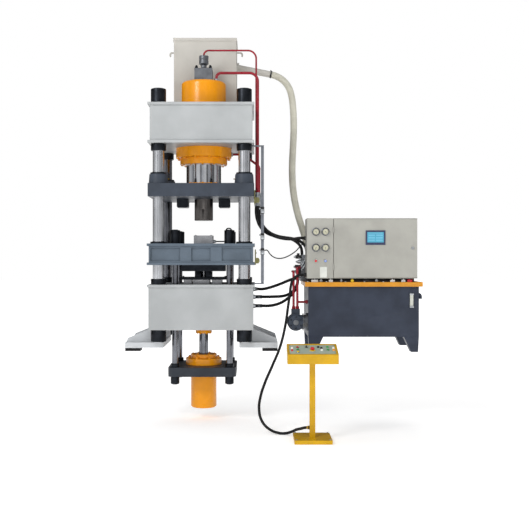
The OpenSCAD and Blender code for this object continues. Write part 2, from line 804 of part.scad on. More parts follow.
module stroke_rail() color("darkgray") {
    inner = 500;
    outer = rail_x + rail_w / 2;
    cable_exit = sensor_route[0];
    for (z = [lower_top, upper_z - rail_t])
        translate([inner, rail_y - striker_w / 2, z]) cube([outer - inner, striker_w, rail_t]);
    translate([rail_x - rail_w / 2, rail_y - rail_t / 2, lower_top + rail_t])
        cube([rail_w, rail_t, daylight_h - 2 * rail_t]);
    for (z = [1010, 1170, 1450]) limit_switch(z);
    bar([outer - over, cable_exit[1], cable_exit[2]], cable_exit, 11);
}

// One foot on the right: plate, pads and two sloping webs, with its anchor holes
module right_foot() {
    inner = tie_rod_pitch / 2 + tie_rod_d / 2 + foot_gap;
    outer = lower_side + foot_reach;
    difference() {
        union() {
            translate([inner, -foot_l / 2, foot_pad_h]) cube([outer - inner, foot_l, foot_plate_t]);
            for (y = [-foot_web_pitch / 2, foot_web_pitch / 2])
                translate([0, y, 0]) rotate([90, 0, 0]) linear_extrude(foot_web_t, center = true)
                    polygon([[inner, foot_top], [inner, lower_beam_z], [lower_side, lower_beam_z],
                        [outer - 12, foot_top + foot_toe_h], [outer, foot_top]]);
            for (y = [-anchor_pitch_y / 2, anchor_pitch_y / 2])
                translate([anchor_pitch_x / 2 - foot_pad_w / 2, y - foot_pad_w / 2, 0])
                    cube([foot_pad_w, foot_pad_w, foot_pad_h]);
        }
        for (y = [-anchor_pitch_y / 2, anchor_pitch_y / 2])
            translate([anchor_pitch_x / 2, y, 0]) hole(anchor_d, 0, foot_top);
    }
}

module press_feet() color("lightgray") {
    right_foot();
    mirror([1, 0, 0]) right_foot();
}

module withdrawal_rod() color("silver") {
    piston_top = barrel_top - spigot_h - 12;
    translate([0, 0, piston_top - piston_h]) cylinder(d = barrel_bore - 2 * run_gap, h = piston_h);
    translate([0, 0, piston_top]) cylinder(d = draw_rod_d, h = lower_beam_z - piston_top);
}

module rod_flange() color("orange")
    ring(rod_flange_d, draw_rod_d + 2 * seat_gap, rod_flange_h, lower_beam_z - rod_flange_h);

module spacer_blocks() color("lavender") {
    // Left end and width of each block
    for (block = [[-211, 87], [-108, 178], [94, 109]])
        translate([block[0], -spacer_l / 2, lower_top]) cube([block[1], spacer_l, spacer_h]);
}

// Holder with a clamp block that is slit at its front, where the punch shows
module lower_punch_holder() color("#262423") {
    block_w = lower_punch_d + 128;
    slit_w = lower_punch_d - 5;
    block_z = holder_z + holder_t;
    top = die_plate_z - retainer_h - 2;
    difference() {
        union() {
            plate(holder_w, holder_l, holder_t, holder_z);
            plate(block_w, block_w, top - block_z + over, block_z - over);
        }
        hole(lower_punch_d + 2 * seat_gap, holder_z, top);
        translate([-slit_w / 2, -block_w / 2 - over, block_z]) cube([slit_w, block_w / 2 + over, top]);
    }
}

module lower_punch() color("silver")
    translate([0, 0, holder_z]) cylinder(d = lower_punch_d, h = die_top - holder_z);

module slide_plate() color("#474d57") {
    edge = 12;
    w = slide_w / 2;
    difference() {
        union() {
            translate([0, 0, slide_z]) linear_extrude(slide_t)
                polygon([[-w + edge, -w], [w - edge, -w], [w, -w + edge], [w, w - edge], [w - edge, w],
                    [-w + edge, w], [-w, w - edge], [-w, -w + edge]]);
            at_columns() translate([0, 0, slide_top]) cylinder(d1 = boss_base_d, d2 = boss_top_d, h = boss_h);
        }
        at_columns() hole(bush_d + 2 * seat_gap, slide_z, boss_top);
    }
}

module slide_bushes() color("#262423") at_columns() flanged_bush(boss_top - slide_z, boss_top);

module main_ram() color("silver") {
    edge = 8;
    translate([0, 0, slide_top]) rotate_extrude()
        polygon([[0, 0], [ram_d / 2, 0], [ram_d / 2, ram_l - edge], [ram_d / 2 - edge, ram_l], [0, ram_l]]);
}

module ram_flange() color("orange") ring(ram_ring_d, ram_d + 2 * seat_gap, ram_ring_h, slide_top);

module upper_punch() color("silver") {
    edge = 4;
    bottom = slide_z - punch_h;
    difference() {
        translate([0, 0, bottom]) rotate_extrude()
            polygon([[0, 0], [punch_d / 2 - edge, 0], [punch_d / 2, edge], [punch_d / 2, punch_h],
                [0, punch_h]]);
        translate([0, 0, bottom + punch_hole_z]) rotate([90, 0, 0])
            cylinder(d = punch_hole_d, h = punch_d / 2 + over);
    }
}

module stop_blocks() color("#262423") {
    edge = 10;
    for (x = [-block_x, block_x])
        translate([x, 0, slide_z - block_h]) rotate([90, 0, 0]) linear_extrude(block_l, center = true)
            polygon([[-block_w / 2 + edge, 0], [block_w / 2 - edge, 0], [block_w / 2, edge],
                [block_w / 2, block_h], [-block_w / 2, block_h], [-block_w / 2, edge]]);
}

// Bracket on a plate's right side, from z0 to z1, with a ramped cam that trips the switches
module striker(side, z0, z1) {
    cam_w = 24;
    cam_h = 60;
    reach = rail_x - rail_w / 2 - 14;
    translate([side, rail_y - striker_w / 2, z0]) cube([rail_t, striker_w, z1 - z0]);
    translate([0, rail_y, z0 + 15]) rotate([90, 0, 0]) linear_extrude(cam_w, center = true)
        polygon([[side, 0], [reach - 12, 0], [reach, 18], [reach, cam_h - 18], [reach - 12, cam_h],
            [side, cam_h]]);
}

module slide_striker() color("darkkhaki") striker(slide_w / 2, slide_z - 70, slide_z + 80);

module die_striker() color("darkkhaki") striker(die_edge, die_plate_z, die_plate_top - 60);

module die_plate() color("#5a6672") {
    outer = die_plate_w + 2 * die_lip;
    panel_z = die_plate_z + die_flange_t + panel_border;
    panel_h = die_plate_h - 2 * (die_flange_t + panel_border);
    outer_x = mid_panel_w / 2 + rib_w;
    outer_w = die_plate_w / 2 - panel_border - outer_x;
    // Left end and width of each sunk panel
    panels = [[-outer_x - outer_w, outer_w], [-mid_panel_w / 2, mid_panel_w], [outer_x, outer_w]];
    difference() {
        union() {
            plate(die_plate_w, die_plate_w, die_plate_h, die_plate_z);
            plate(outer, outer, die_flange_t, die_plate_z);
            plate(outer, outer, die_flange_t, die_plate_top - die_flange_t);
        }
        for (turn = [0, 180], panel = panels)
            rotate(turn) translate([panel[0], -die_plate_w / 2 - over, panel_z])
                cube([panel[1], panel_depth + over, panel_h]);
        at_columns() hole(bush_d + 2 * seat_gap, die_plate_z, die_plate_top);
        at_tie_rods() hole(tie_rod_d + 2 * seat_gap, die_plate_z, die_plate_top);
        hole(lower_punch_d + 2 * pass_gap, die_plate_z, die_plate_top);
    }
}

module die_collars() color("#262423") {
    bore = column_d + 2 * run_gap;
    edge = 3;
    at_columns() translate([0, 0, die_plate_z]) rotate_extrude()
        polygon([[bore / 2, 0], [bush_d / 2, 0], [bush_d / 2, die_plate_h], [bush_flange_d / 2, die_plate_h],
            [bush_flange_d / 2, die_plate_h + die_collar_h - edge],
            [bush_flange_d / 2 - edge, die_plate_h + die_collar_h], [bore / 2, die_plate_h + die_collar_h]]);
    difference() {
        plate(retainer_w, retainer_l, retainer_h, die_plate_z - retainer_h);
        hole(lower_punch_d + 100, die_plate_z - retainer_h, die_plate_z);
    }
}

// Die with a connector on its right side and a formed tube that arches over to the tie rod's nut
module die() color("silver") {
    port_d = 36;
    port = [die_w / 2, -30, die_plate_top + port_d / 2 + 12];
    tube_d = 14;
    tube_x = [142, 204];
    arch_z = die_plate_top + tie_nut_h + 28;
    difference() {
        plate(die_w, die_w, die_h, die_plate_top);
        hole(lower_punch_d + 2 * run_gap, die_plate_top, die_top);
    }
    translate(port) rotate([0, 90, 0]) {
        cylinder(d = port_d, h = 24, $fn = 6);
        cylinder(d = port_d - 10, h = 34);
    }
    bent_pipe([port, port + [tube_x[0], 0, 0], [port[0] + tube_x[0], port[1], arch_z],
        [port[0] + tube_x[1], port[1], arch_z], [port[0] + tube_x[1], port[1], arch_z - 40]], tube_d, 28);
    translate([port[0] + tube_x[1], port[1], arch_z - 52]) cylinder(d = tube_d + 10, h = 22, $fn = 6);
}

module tie_rods() color("silver") {
    edge = 3;
    bottom = yoke_z - yoke_nut_h - column_end;
    length = die_plate_top + tie_nut_h + column_end - bottom;
    at_tie_rods() translate([0, 0, bottom]) rotate_extrude()
        polygon([[0, 0], [tie_rod_d / 2 - edge, 0], [tie_rod_d / 2, edge], [tie_rod_d / 2, length - edge],
            [tie_rod_d / 2 - edge, length], [0, length]]);
}

module tie_rod_nuts() color("#262423") {
    inner = tie_rod_d + 2 * seat_gap;
    at_tie_rods() {
        round_nut(tie_nut_d, inner, tie_nut_h, die_plate_top);
        round_nut(yoke_nut_d, inner, yoke_collar_h, yoke_top);
        round_nut(yoke_nut_d, inner, yoke_nut_h, yoke_z - yoke_nut_h);
    }
}

module yoke() color("#474d57") {
    half = yoke_w / 2 - yoke_round;
    difference() {
        union() {
            plate(yoke_w, 2 * half, yoke_t, yoke_z);
            plate(2 * half, yoke_w, yoke_t, yoke_z);
            at_corners(2 * half, 2 * half) translate([0, 0, yoke_z]) cylinder(r = yoke_round, h = yoke_t);
        }
        at_tie_rods() hole(tie_rod_d + 2 * seat_gap, yoke_z, yoke_top);
        hole(barrel_d + 2 * seat_gap, yoke_z, yoke_top);
    }
}

module withdrawal_cylinder() color("orange") {
    edge = 14;
    rotate_extrude()
        polygon([[0, barrel_end], [barrel_d / 2 - edge, barrel_end], [barrel_d / 2, barrel_end + edge],
            [barrel_d / 2, yoke_top], [barrel_flange_d / 2, yoke_top], [barrel_flange_d / 2, barrel_top - 5],
            [barrel_flange_d / 2 - 5, barrel_top], [barrel_bore / 2, barrel_top],
            [barrel_bore / 2, barrel_end + barrel_base_t], [0, barrel_end + barrel_base_t]]);
}

module withdrawal_gland() color("orange") {
    inner = draw_rod_d / 2 + run_gap;
    neck = barrel_bore / 2 - seat_gap;
    top = barrel_top + end_ring_h;
    rotate_extrude()
        polygon([[inner, barrel_top - spigot_h], [neck, barrel_top - spigot_h], [neck, barrel_top],
            [end_ring_d / 2, barrel_top], [end_ring_d / 2, top - 5], [end_ring_d / 2 - 5, top],
            [inner, top]]);
}

// Oil tank, open at the top, with its level gauge and filler elbow
module oil_tank() color("#3a4150") {
    right = unit_x + tank_w;
    elbow_z = tank_floor_z + 438;
    gauge_z = tank_floor_z + 314;
    difference() {
        translate([unit_x, unit_y, tank_floor_z]) cube([tank_w, tank_l, tank_h]);
        translate([unit_x + tank_wall, unit_y + tank_wall, tank_floor_z + tank_wall])
            cube([tank_w - 2 * tank_wall, tank_l - 2 * tank_wall, tank_h]);
    }
    translate([right - 94, unit_y - 14, gauge_z]) cube([34, 14, 133]);
    bent_pipe([[right, unit_y + 80, elbow_z], [right + 26, unit_y + 80, elbow_z],
        [right + 26, unit_y + 80, elbow_z - 45]], 40, 24);
}

module tank_legs() color("#3a4150") {
    inset = 8;
    for (x = [unit_x, unit_x + tank_w - leg_top_w], y = [unit_y + leg_t, unit_y + tank_l]) {
        lean = x == unit_x ? inset : leg_top_w - leg_foot_w - inset;
        translate([x, y, 0]) rotate([90, 0, 0]) linear_extrude(leg_t)
            polygon([[0, tank_floor_z], [lean, 0], [lean + leg_foot_w, 0], [leg_top_w, tank_floor_z]]);
    }
}

// Folded cover on the tank, with the suction hose's spigot
module tank_cover() color("orange") {
    size = [tank_w + 2 * cover_lip, tank_l + 2 * cover_lip];
    hose_end = end_of(suction_route);
    difference() {
        translate([unit_x - cover_lip, unit_y - cover_lip, cover_top - cover_skirt_h])
            cube([size[0], size[1], cover_skirt_h]);
        translate([unit_x - cover_lip + cover_t, unit_y - cover_lip + cover_t,
            cover_top - cover_skirt_h - over])
            cube([size[0] - 2 * cover_t, size[1] - 2 * cover_t, cover_skirt_h - cover_t + over]);
    }
    translate([hose_end[0], hose_end[1], cover_top]) {
        cylinder(d = outlet_d + 35, h = 14);
        cylinder(d = outlet_d - 8, h = hose_end[2] - cover_top);
    }
}

// Cabinet shell with its gauge panel, button bezels, hinge halves, cable glands and stand-offs
module cabinet() color("#b4b2a6") {
    glands = [[end_of(pressure_route), hose_d + 12], [end_of(sensor_route), 24], [console_route[0], 44]];
    foot_w = 60;
    difference() {
        union() {
            translate([cabinet_x, cabinet_y, cabinet_z]) cube([cabinet_w, cabinet_l, cabinet_h]);
            translate([cabinet_x, front_y, cabinet_z]) cube([strip_w, strip_t, cabinet_h]);
            for (x = gauge_xs)
                translate([x, front_y, button_z]) rotate([90, 0, 0]) cylinder(d = bezel_d, h = bezel_h);
            for (x = [cabinet_x + 30, cabinet_x + cabinet_w - 30 - foot_w],
                y = [cabinet_y + 20, cabinet_y + cabinet_l - 20 - foot_w])
                translate([x, y, cover_top]) cube([foot_w, foot_w, cabinet_gap]);
            for (gland = glands)
                bar(gland[0], [cabinet_x + over, gland[0][1], gland[0][2]], gland[1]);
            for (z = hinge_heights) {
                translate([hinge_x, hinge_y, z]) cylinder(d = knuckle_d, h = knuckle_h - seat_gap);
                translate([hinge_x, hinge_y, z]) cylinder(d = hinge_pin_d, h = 2 * knuckle_h);
                translate([hinge_x - leaf_w, front_y - leaf_t, z])
                    cube([leaf_w, leaf_t, knuckle_h - seat_gap]);
            }
        }
        translate([cabinet_x + cabinet_wall, cabinet_y + cabinet_wall, cabinet_z + cabinet_wall])
            cube([cabinet_w - 2 * cabinet_wall, cabinet_l - 2 * cabinet_wall, cabinet_h - 2 * cabinet_wall]);
        translate([door_x + door_margin, cabinet_y - over, door_z + door_margin])
            cube([door_w - 2 * door_margin, cabinet_wall + 2 * over, door_h - 2 * door_margin]);
        for (x = gauge_xs)
            translate([x, cabinet_y + cabinet_wall + over, button_z]) rotate([90, 0, 0])
                cylinder(d = button_d + 2 * seat_gap, h = strip_t + bezel_h + cabinet_wall + 2 * over);
    }
}

// Left end of module i in a row of control modules
function module_place(row, i) = i == 0 ? 30 : module_place(row, i - 1) + row[i - 1][0] + 12;

// Back plate in the cabinet with two rows of control modules and a cable duct
module control_gear() color("whitesmoke") {
    board_t = 3;
    rail_h = 35;
    back = cabinet_y + cabinet_l - cabinet_wall;
    left = door_x + 50;
    bottom = cabinet_z + 60;
    board = [door_w - 100, cabinet_h - 120];
    // Width, height and depth of each module in a row, from the left
    row = [[110, 130, 90], [70, 130, 75], [70, 130, 75], [45, 90, 70], [45, 90, 70], [45, 90, 70],
        [90, 110, 85]];
    translate([left, back - board_t, bottom]) cube([board[0], board_t, board[1]]);
    for (z = [120, 360]) {
        translate([left + 20, back - board_t - 8, bottom + z - rail_h / 2]) cube([board[0] - 40, 8, rail_h]);
        for (i = [0 : len(row) - 1])
            translate([left + module_place(row, i), back - board_t - 8 - row[i][2],
                bottom + z - row[i][1] / 2])
                cube([row[i][0], row[i][2], row[i][1]]);
    }
    translate([left + 20, back - board_t - 60, bottom + 215]) cube([board[0] - 40, 60, 40]);
}

// Door with folded edges, hinge halves, lock and the touchscreen's cut-out
module cabinet_door() color("#b4b2a6") {
    skin = 3;
    lock_z = door_z + 305;
    lock_x = door_x + door_w - 45;
    bore = hinge_pin_d + 2 * run_gap;
    difference() {
        union() {
            difference() {
                translate([door_x, front_y, door_z]) cube([door_w, door_t, door_h]);
                translate([door_x + skin, front_y + skin, door_z + skin])
                    cube([door_w - 2 * skin, door_t, door_h - 2 * skin]);
            }
            for (z = hinge_heights) {
                translate([hinge_x, hinge_y, z + knuckle_h]) cylinder(d = knuckle_d, h = knuckle_h);
                translate([hinge_x, front_y - leaf_t, z + knuckle_h]) cube([leaf_w, leaf_t, knuckle_h]);
            }
            translate([lock_x, front_y, lock_z]) rotate([90, 0, 0]) cylinder(d = 30, h = 10);
        }
        for (z = hinge_heights) translate([hinge_x, hinge_y, 0]) hole(bore, z + knuckle_h, z + 2 * knuckle_h);
        translate([screen_mid[0] - screen_body[0] / 2 - 1, front_y - over,
            screen_mid[1] - screen_body[2] / 2 - 1])
            cube([screen_body[0] + 2, skin + 2 * over, screen_body[2] + 2]);
    }
}

module touchscreen() color("#2e3350") {
    border = 14;
    glass_sink = 1.5;
    translate([screen_mid[0], front_y, screen_mid[1]]) {
        difference() {
            translate([-screen_w / 2, -screen_t, -screen_h / 2]) cube([screen_w, screen_t, screen_h]);
            translate([-screen_w / 2 + border, -screen_t - over, -screen_h / 2 + border])
                cube([screen_w - 2 * border, glass_sink + over, screen_h - 2 * border]);
        }
        translate([-screen_body[0] / 2, 0, -screen_body[2] / 2]) cube(screen_body);
    }
}

module pressure_gauges() color("silver") {
    r = gauge_d / 2;
    for (x = gauge_xs, z = gauge_zs)
        translate([x, front_y, z]) rotate([90, 0, 0]) rotate_extrude()
            polygon([[0, 0], [r, 0], [r, 5], [r - 6, 8], [r - 6, gauge_h - 3], [r - 9, gauge_h],
                [r - 12, gauge_h], [r - 12, gauge_h - 4], [0, gauge_h - 4]]);
}

// Push button in its bezel on the gauge panel
module panel_button(x) {
    translate([x, cabinet_y + cabinet_wall + 10, button_z]) rotate([90, 0, 0])
        cylinder(d = button_d, h = strip_t + cabinet_wall + 10 + bezel_h + button_rise);
}

module red_button() color("crimson") panel_button(gauge_xs[0]);

module blue_button() color("royalblue") panel_button(gauge_xs[1]);

// Valve block on the tank cover, with solenoids, a directional valve and hose connectors
module valve_manifold() color("slategray") {
    left = manifold[0];
    top = manifold[2] + manifold_size[2];
    end = hose_d + 4;
    translate(manifold) cube(manifold_size);
    for (coil = [[-150, 830], [0, 880]])
        translate([left, coil[0], coil[1]]) rotate([0, -90, 0]) {
            cylinder(d = 46, h = 58);
            cylinder(d = 24, h = 72);
        }
    translate([left + 30, -175, top]) cube([120, 70, 60]);
    for (last = [end_of(pilot_route), end_of(return_route)])
        bar([last[0], last[1], top], last, end);
    bar([left, end_of(lower_route)[1], end_of(lower_route)[2]], end_of(lower_route), end);
    for (last = [end_of(left_route), end_of(right_route)])
        bent_pipe([[left, last[1], last[2] + 45], [last[0], last[1], last[2] + 45], last], end - 4, 22);
}

// Pump on the tank's side: round body, front cover, suction bell and pressure port
module pump() color("#333b48") {
    bell_d = 150;
    translate(pump_mid) {
        rotate([90, 0, 0]) cylinder(d = pump_d, h = pump_l, center = true);
        translate([0, -pump_l / 2, 0]) rotate([90, 0, 0])
            cylinder(d1 = pump_d - 16, d2 = pump_d - 28, h = 25);
        rotate([0, 90, 0]) cylinder(d = bell_d, h = unit_x - pump_mid[0]);
        for (x = [unit_x - pump_mid[0] - 20, unit_x - pump_mid[0] - 52])
            translate([x, 0, 0]) rotate([0, 90, 0]) cylinder(d = bell_d + 36, h = x > 90 ? 20 : 8);
        translate([-45, -40, 40]) cube([90, 80, 97]);
    }
}

module pump_pipes() color("firebrick") {
    bend = 40;
    left = manifold[0];
    z0 = pump_mid[2] + 137;
    y0 = pump_mid[1];
    bent_pipe([[970, y0, z0], [970, y0, 830], [970, -55, 830], [left, -55, 830]], pump_pipe_d, bend);
    bent_pipe([[1010, y0, z0], [1010, y0, 870], [1010, -105, 870], [left, -105, 870]], pump_pipe_d, bend);
    bar([1010, y0, 513], [unit_x, y0, 513], pump_pipe_d - 2);
}

// Base, square tube pole and the gland where the cable goes in
module console_stand() color("gold") {
    wall = 4;
    cable_end = end_of(console_route);
    translate([console_x, console_y, 0]) {
        difference() {
            plate(base_w, base_l, base_t, console_floor);
            plate(base_w - 2 * wall, base_l - 2 * wall, base_t - wall + over, console_floor - over);
        }
        plate(pole_w, pole_w, pole_h, console_floor + base_t);
    }
    bar(cable_end, cable_end + 30 * heading(console_route, len(console_route) - 1), 36);
}

// Children at a place on the console's sloping panel: u to the right of its middle, v up from its front edge
module on_panel(u, v) {
    translate([console_x + u, box_y, box_z + box_front_h]) rotate([panel_tilt, 0, 0])
        translate([0, v, -panel_sink]) children();
}

// Middle, diameter and height of the lamps and keys that don't travel
lamps = [[-195, 180, 20], [-195, 120, 20], [60, 205, 20], [90, 130, 20], [90, 180, 20], [150, 205, 20],
    [205, 130, 20], [205, 180, 20]];
// Places of the moving controls
stop_place = [0, 130];
selector_place = [-55, 200];
start_place = [150, 130];
off_place = [-140, 200];
raise_place = [-140, 140];
lower_place = [-140, 80];

module console_box() color("gold") {
    w = box_w / 2 - box_rim;
    pushes = [start_place, off_place, raise_place, lower_place, selector_place];
    difference() {
        union() {
            difference() {
                translate([console_x - box_w / 2, box_y, box_z]) rotate([90, 0, 90]) linear_extrude(box_w)
                    polygon([[0, 0], [box_l, 0], [box_l, box_rear_h], [0, box_front_h]]);
                on_panel(0, box_rim) translate([-w, 0, 0])
                    cube([2 * w, panel_l - 2 * box_rim, 2 * panel_sink]);
            }
            for (place = pushes)
                on_panel(place[0], place[1]) cylinder(d = control_bezel_d, h = control_bezel_h);
            for (lamp = lamps)
                on_panel(lamp[0], lamp[1]) cylinder(d1 = lamp[2] + 6, d2 = lamp[2], h = 12);
            on_panel(stop_place[0], stop_place[1]) cylinder(d = stop_d + 14, h = 3);
        }
        for (place = concat(pushes, [stop_place]))
            on_panel(place[0], place[1]) translate([0, 0, -control_stem - 12])
                cylinder(d = control_d + 2 * seat_gap, h = control_stem + 12 + control_bezel_h + over);
    }
}

// Round push button in a bezel of the console's panel
module console_button(place) {
    on_panel(place[0], place[1]) translate([0, 0, -control_stem])
        cylinder(d = control_d, h = control_stem + control_bezel_h + control_rise);
}

module emergency_stop() color("red") {
    r = stop_d / 2;
    on_panel(stop_place[0], stop_place[1]) {
        translate([0, 0, -control_stem]) cylinder(d = control_d, h = control_stem + 20);
        translate([0, 0, 12]) rotate_extrude()
            polygon(concat([[0, 0], [r - 2, 0], [r, 3]], arc([r - 10, 8], 10, 0, 80, 5), [[0, 20]]));
    }
}

module selector_switch() color("#262423") {
    on_panel(selector_place[0], selector_place[1]) {
        translate([0, 0, -control_stem]) cylinder(d = control_d, h = control_stem + control_bezel_h + 4);
        translate([-5, -control_d / 2, control_bezel_h + 2]) cube([10, control_d, 14]);
    }
}

module start_button() color("green") console_button(start_place);

module stop_button() color("crimson") console_button(off_place);

module raise_button() color("green") console_button(raise_place);

module lower_button() color("yellow") console_button(lower_place);

module suction_hose() color("#b5b29e") cord_tube(suction_route, outlet_d, 12);

module pressure_hoses() color("#1c1c1e") {
    for (route = [pressure_route, pilot_route, return_route, lower_route, left_route, right_route])
        cord_tube(route, hose_d, 8);
}

module sensor_cable() color("#1c1c1e") cord_tube(sensor_route, 12, 8);

module console_cable() color("#1c1c1e") cord_tube(console_route, 28, 8);

upper_beam();
lower_beam();
columns();
column_nuts();
main_cylinder();
cylinder_gland();
prefill_valve();
prefill_tank();
pilot_pipe();
pressure_pipe();
return_pipe();
pipe_fittings();
stroke_rail();
press_feet();
withdrawal_rod();
rod_flange();
spacer_blocks();
lower_punch_holder();
lower_punch();
slide_plate();
slide_bushes();
main_ram();
ram_flange();
upper_punch();
stop_blocks();
slide_striker();
die_plate();
die_collars();
die();
tie_rods();
tie_rod_nuts();
yoke();
withdrawal_cylinder();
withdrawal_gland();
die_striker();
oil_tank();
tank_legs();
tank_cover();
cabinet();
control_gear();
cabinet_door();
touchscreen();
pressure_gauges();
red_button();
blue_button();
valve_manifold();
pump();
pump_pipes();
console_stand();
console_box();
emergency_stop();
selector_switch();
start_button();
stop_button();
raise_button();
lower_button();
suction_hose();
pressure_hoses();
sensor_cable();
console_cable();
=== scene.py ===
"""Looks of a four-column hydraulic press with its power unit and operator console."""
import json
import logging
import math
from dataclasses import dataclass, field
from enum import Enum
from itertools import product
from typing import Any, Iterable, Sequence

import bmesh
import bpy
from mathutils import Matrix, Vector


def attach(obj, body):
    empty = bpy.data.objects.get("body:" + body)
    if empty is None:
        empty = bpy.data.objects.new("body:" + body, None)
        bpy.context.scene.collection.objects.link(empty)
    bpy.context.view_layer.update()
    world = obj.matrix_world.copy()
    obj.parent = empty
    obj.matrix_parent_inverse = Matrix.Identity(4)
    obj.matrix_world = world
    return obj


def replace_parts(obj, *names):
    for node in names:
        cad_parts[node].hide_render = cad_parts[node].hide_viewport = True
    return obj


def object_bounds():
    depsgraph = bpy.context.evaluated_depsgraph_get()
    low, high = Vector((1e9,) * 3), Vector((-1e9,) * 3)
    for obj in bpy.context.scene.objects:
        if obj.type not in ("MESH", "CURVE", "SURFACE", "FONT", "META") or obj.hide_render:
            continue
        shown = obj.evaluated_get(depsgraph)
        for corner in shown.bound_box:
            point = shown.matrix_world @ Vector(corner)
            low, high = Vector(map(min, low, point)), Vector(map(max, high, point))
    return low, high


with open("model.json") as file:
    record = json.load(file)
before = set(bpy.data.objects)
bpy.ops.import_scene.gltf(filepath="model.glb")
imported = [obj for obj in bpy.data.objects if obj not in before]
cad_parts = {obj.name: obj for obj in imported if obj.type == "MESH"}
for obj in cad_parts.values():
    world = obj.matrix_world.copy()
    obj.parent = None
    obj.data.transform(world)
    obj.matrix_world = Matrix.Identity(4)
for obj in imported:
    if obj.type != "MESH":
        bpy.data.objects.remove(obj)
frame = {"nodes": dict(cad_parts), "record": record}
CAD_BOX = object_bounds()
LOG = logging.getLogger("press")
MM = 0.001
Point = Sequence[float]
Socket = bpy.types.NodeSocket
UP = Vector((0, 0, 1))
FRONT = Vector((0, -1, 0))
RIGHT = Vector((1, 0, 0))
CORNERS = ((-1, -1), (1, -1), (1, 1), (-1, 1))
# The columns' distance from the press axis, each way, in millimetres
COLUMN_AT = 450
# Edges sharper than this many degrees stay sharp, on made pieces and on copies of CAD pieces
SHARP_MADE, SHARP_CAD = 38, 30


def mm(x: float, y: float, z: float) -> Vector:
    """A point or size given in millimetres, in metres."""
    return Vector((x, y, z)) * MM


def linear(colour: str, share: float = 1.0) -> tuple[float, float, float, float]:
    """Turns an sRGB hex colour into linear values.

    Args:
        colour: six hex digits.
        share: factor on the linear values.

    Returns:
        Red, green, blue and an alpha of one.
    """
    parts = [int(colour[i:i + 2], 16) / 255 for i in (0, 2, 4)]
    values = [c / 12.92 if c <= 0.04045 else ((c + 0.055) / 1.055) ** 2.4 for c in parts]
    return (*(value * share for value in values), 1.0)


def per_metre(size_mm: float) -> float:
    """Texture scale for a pattern whose features are size_mm across."""
    return 1000 / size_mm


def feed(node: bpy.types.Node, inputs: dict[Any, Any]) -> None:
    """Sets a node's inputs.

    Args:
        node: the node.
        inputs: socket names or numbers with a value each, or an output socket to link.
    """
    for key, value in inputs.items():
        if isinstance(value, Socket):
            node.id_data.links.new(value, node.inputs[key])
        else:
            node.inputs[key].default_value = value


def add(tree: bpy.types.NodeTree, kind: str, inputs: dict[Any, Any] | None = None,
        **settings: Any) -> bpy.types.Node:
    """Adds one shader node with its settings and links.

    Args:
        tree: the node tree that gets the node.
        kind: Blender's name of the node type.
        inputs: what feed sets.
        settings: the node's own properties.

    Returns:
        The new node.
    """
    made = tree.nodes.new(kind)
    for key, value in settings.items():
        setattr(made, key, value)
    feed(made, inputs or {})
    return made


class Sheen(Enum):
    """How a paint film lies: roughness, clear coat weight and bump height in millimetres."""

    GLOSS = (0.30, 0.18, 0.12)
    SATIN = (0.44, 0.06, 0.16)
    TEXTURED = (0.56, 0.0, 0.25)


@dataclass
class Pattern:
    """The nodes of one material or of the world, on one set of coordinates and in real sizes."""

    tree: bpy.types.NodeTree
    coords: Socket

    def noise(self, size_mm: float, detail: float, vector: Socket | None = None) -> Socket:
        """Noise with features of a real size, on the coordinates or on another vector."""
        return add(self.tree, "ShaderNodeTexNoise", {
            "Vector": self.coords if vector is None else vector, "Scale": per_metre(size_mm),
            "Detail": detail}).outputs["Fac"]

    def remap(self, value: Socket, low: float, high: float, first: float = 0.0, last: float = 1.0) -> Socket:
        """Maps the range from low to high onto the one from first to last."""
        return add(self.tree, "ShaderNodeMapRange", {0: value, 1: low, 2: high, 3: first, 4: last}).outputs[0]

    def blend(self, share: Socket, one: Any, other: Any) -> Socket:
        """Mixes two colours."""
        return add(self.tree, "ShaderNodeMixRGB", {
            "Fac": share, "Color1": one, "Color2": other}).outputs["Color"]

    def bump(self, height: Socket, strength: float, depth_mm: float) -> Socket:
        """Turns a pattern into relief."""
        return add(self.tree, "ShaderNodeBump", {
            "Height": height, "Strength": strength, "Distance": depth_mm * MM}).outputs["Normal"]


@dataclass(frozen=True)
class Finish:
    """A finish: its material's name, the record's slot, which is not used, and its main colour."""

    name: str
    slot: str
    colour: str

    def material(self) -> bpy.types.Material:
        """Makes the material once.

        Returns:
            The material, which is the same one at each call.
        """
        found = bpy.data.materials.get(self.name)
        if found:
            return found
        made = bpy.data.materials.new(self.name)
        made.use_nodes = True
        tree = made.node_tree
        shader = tree.nodes["Principled BSDF"]
        feed(shader, {"Base Color": linear(self.colour)})
        feed(shader, self.dress(Pattern(tree, add(tree, "ShaderNodeTexCoord").outputs["Object"])))
        return made

    def dress(self, pattern: Pattern) -> dict[str, Any]:
        """Lays what the finish shows. Each kind of finish has its own.

        Args:
            pattern: the material's nodes.

        Returns:
            The shader's inputs.
        """
        raise NotImplementedError


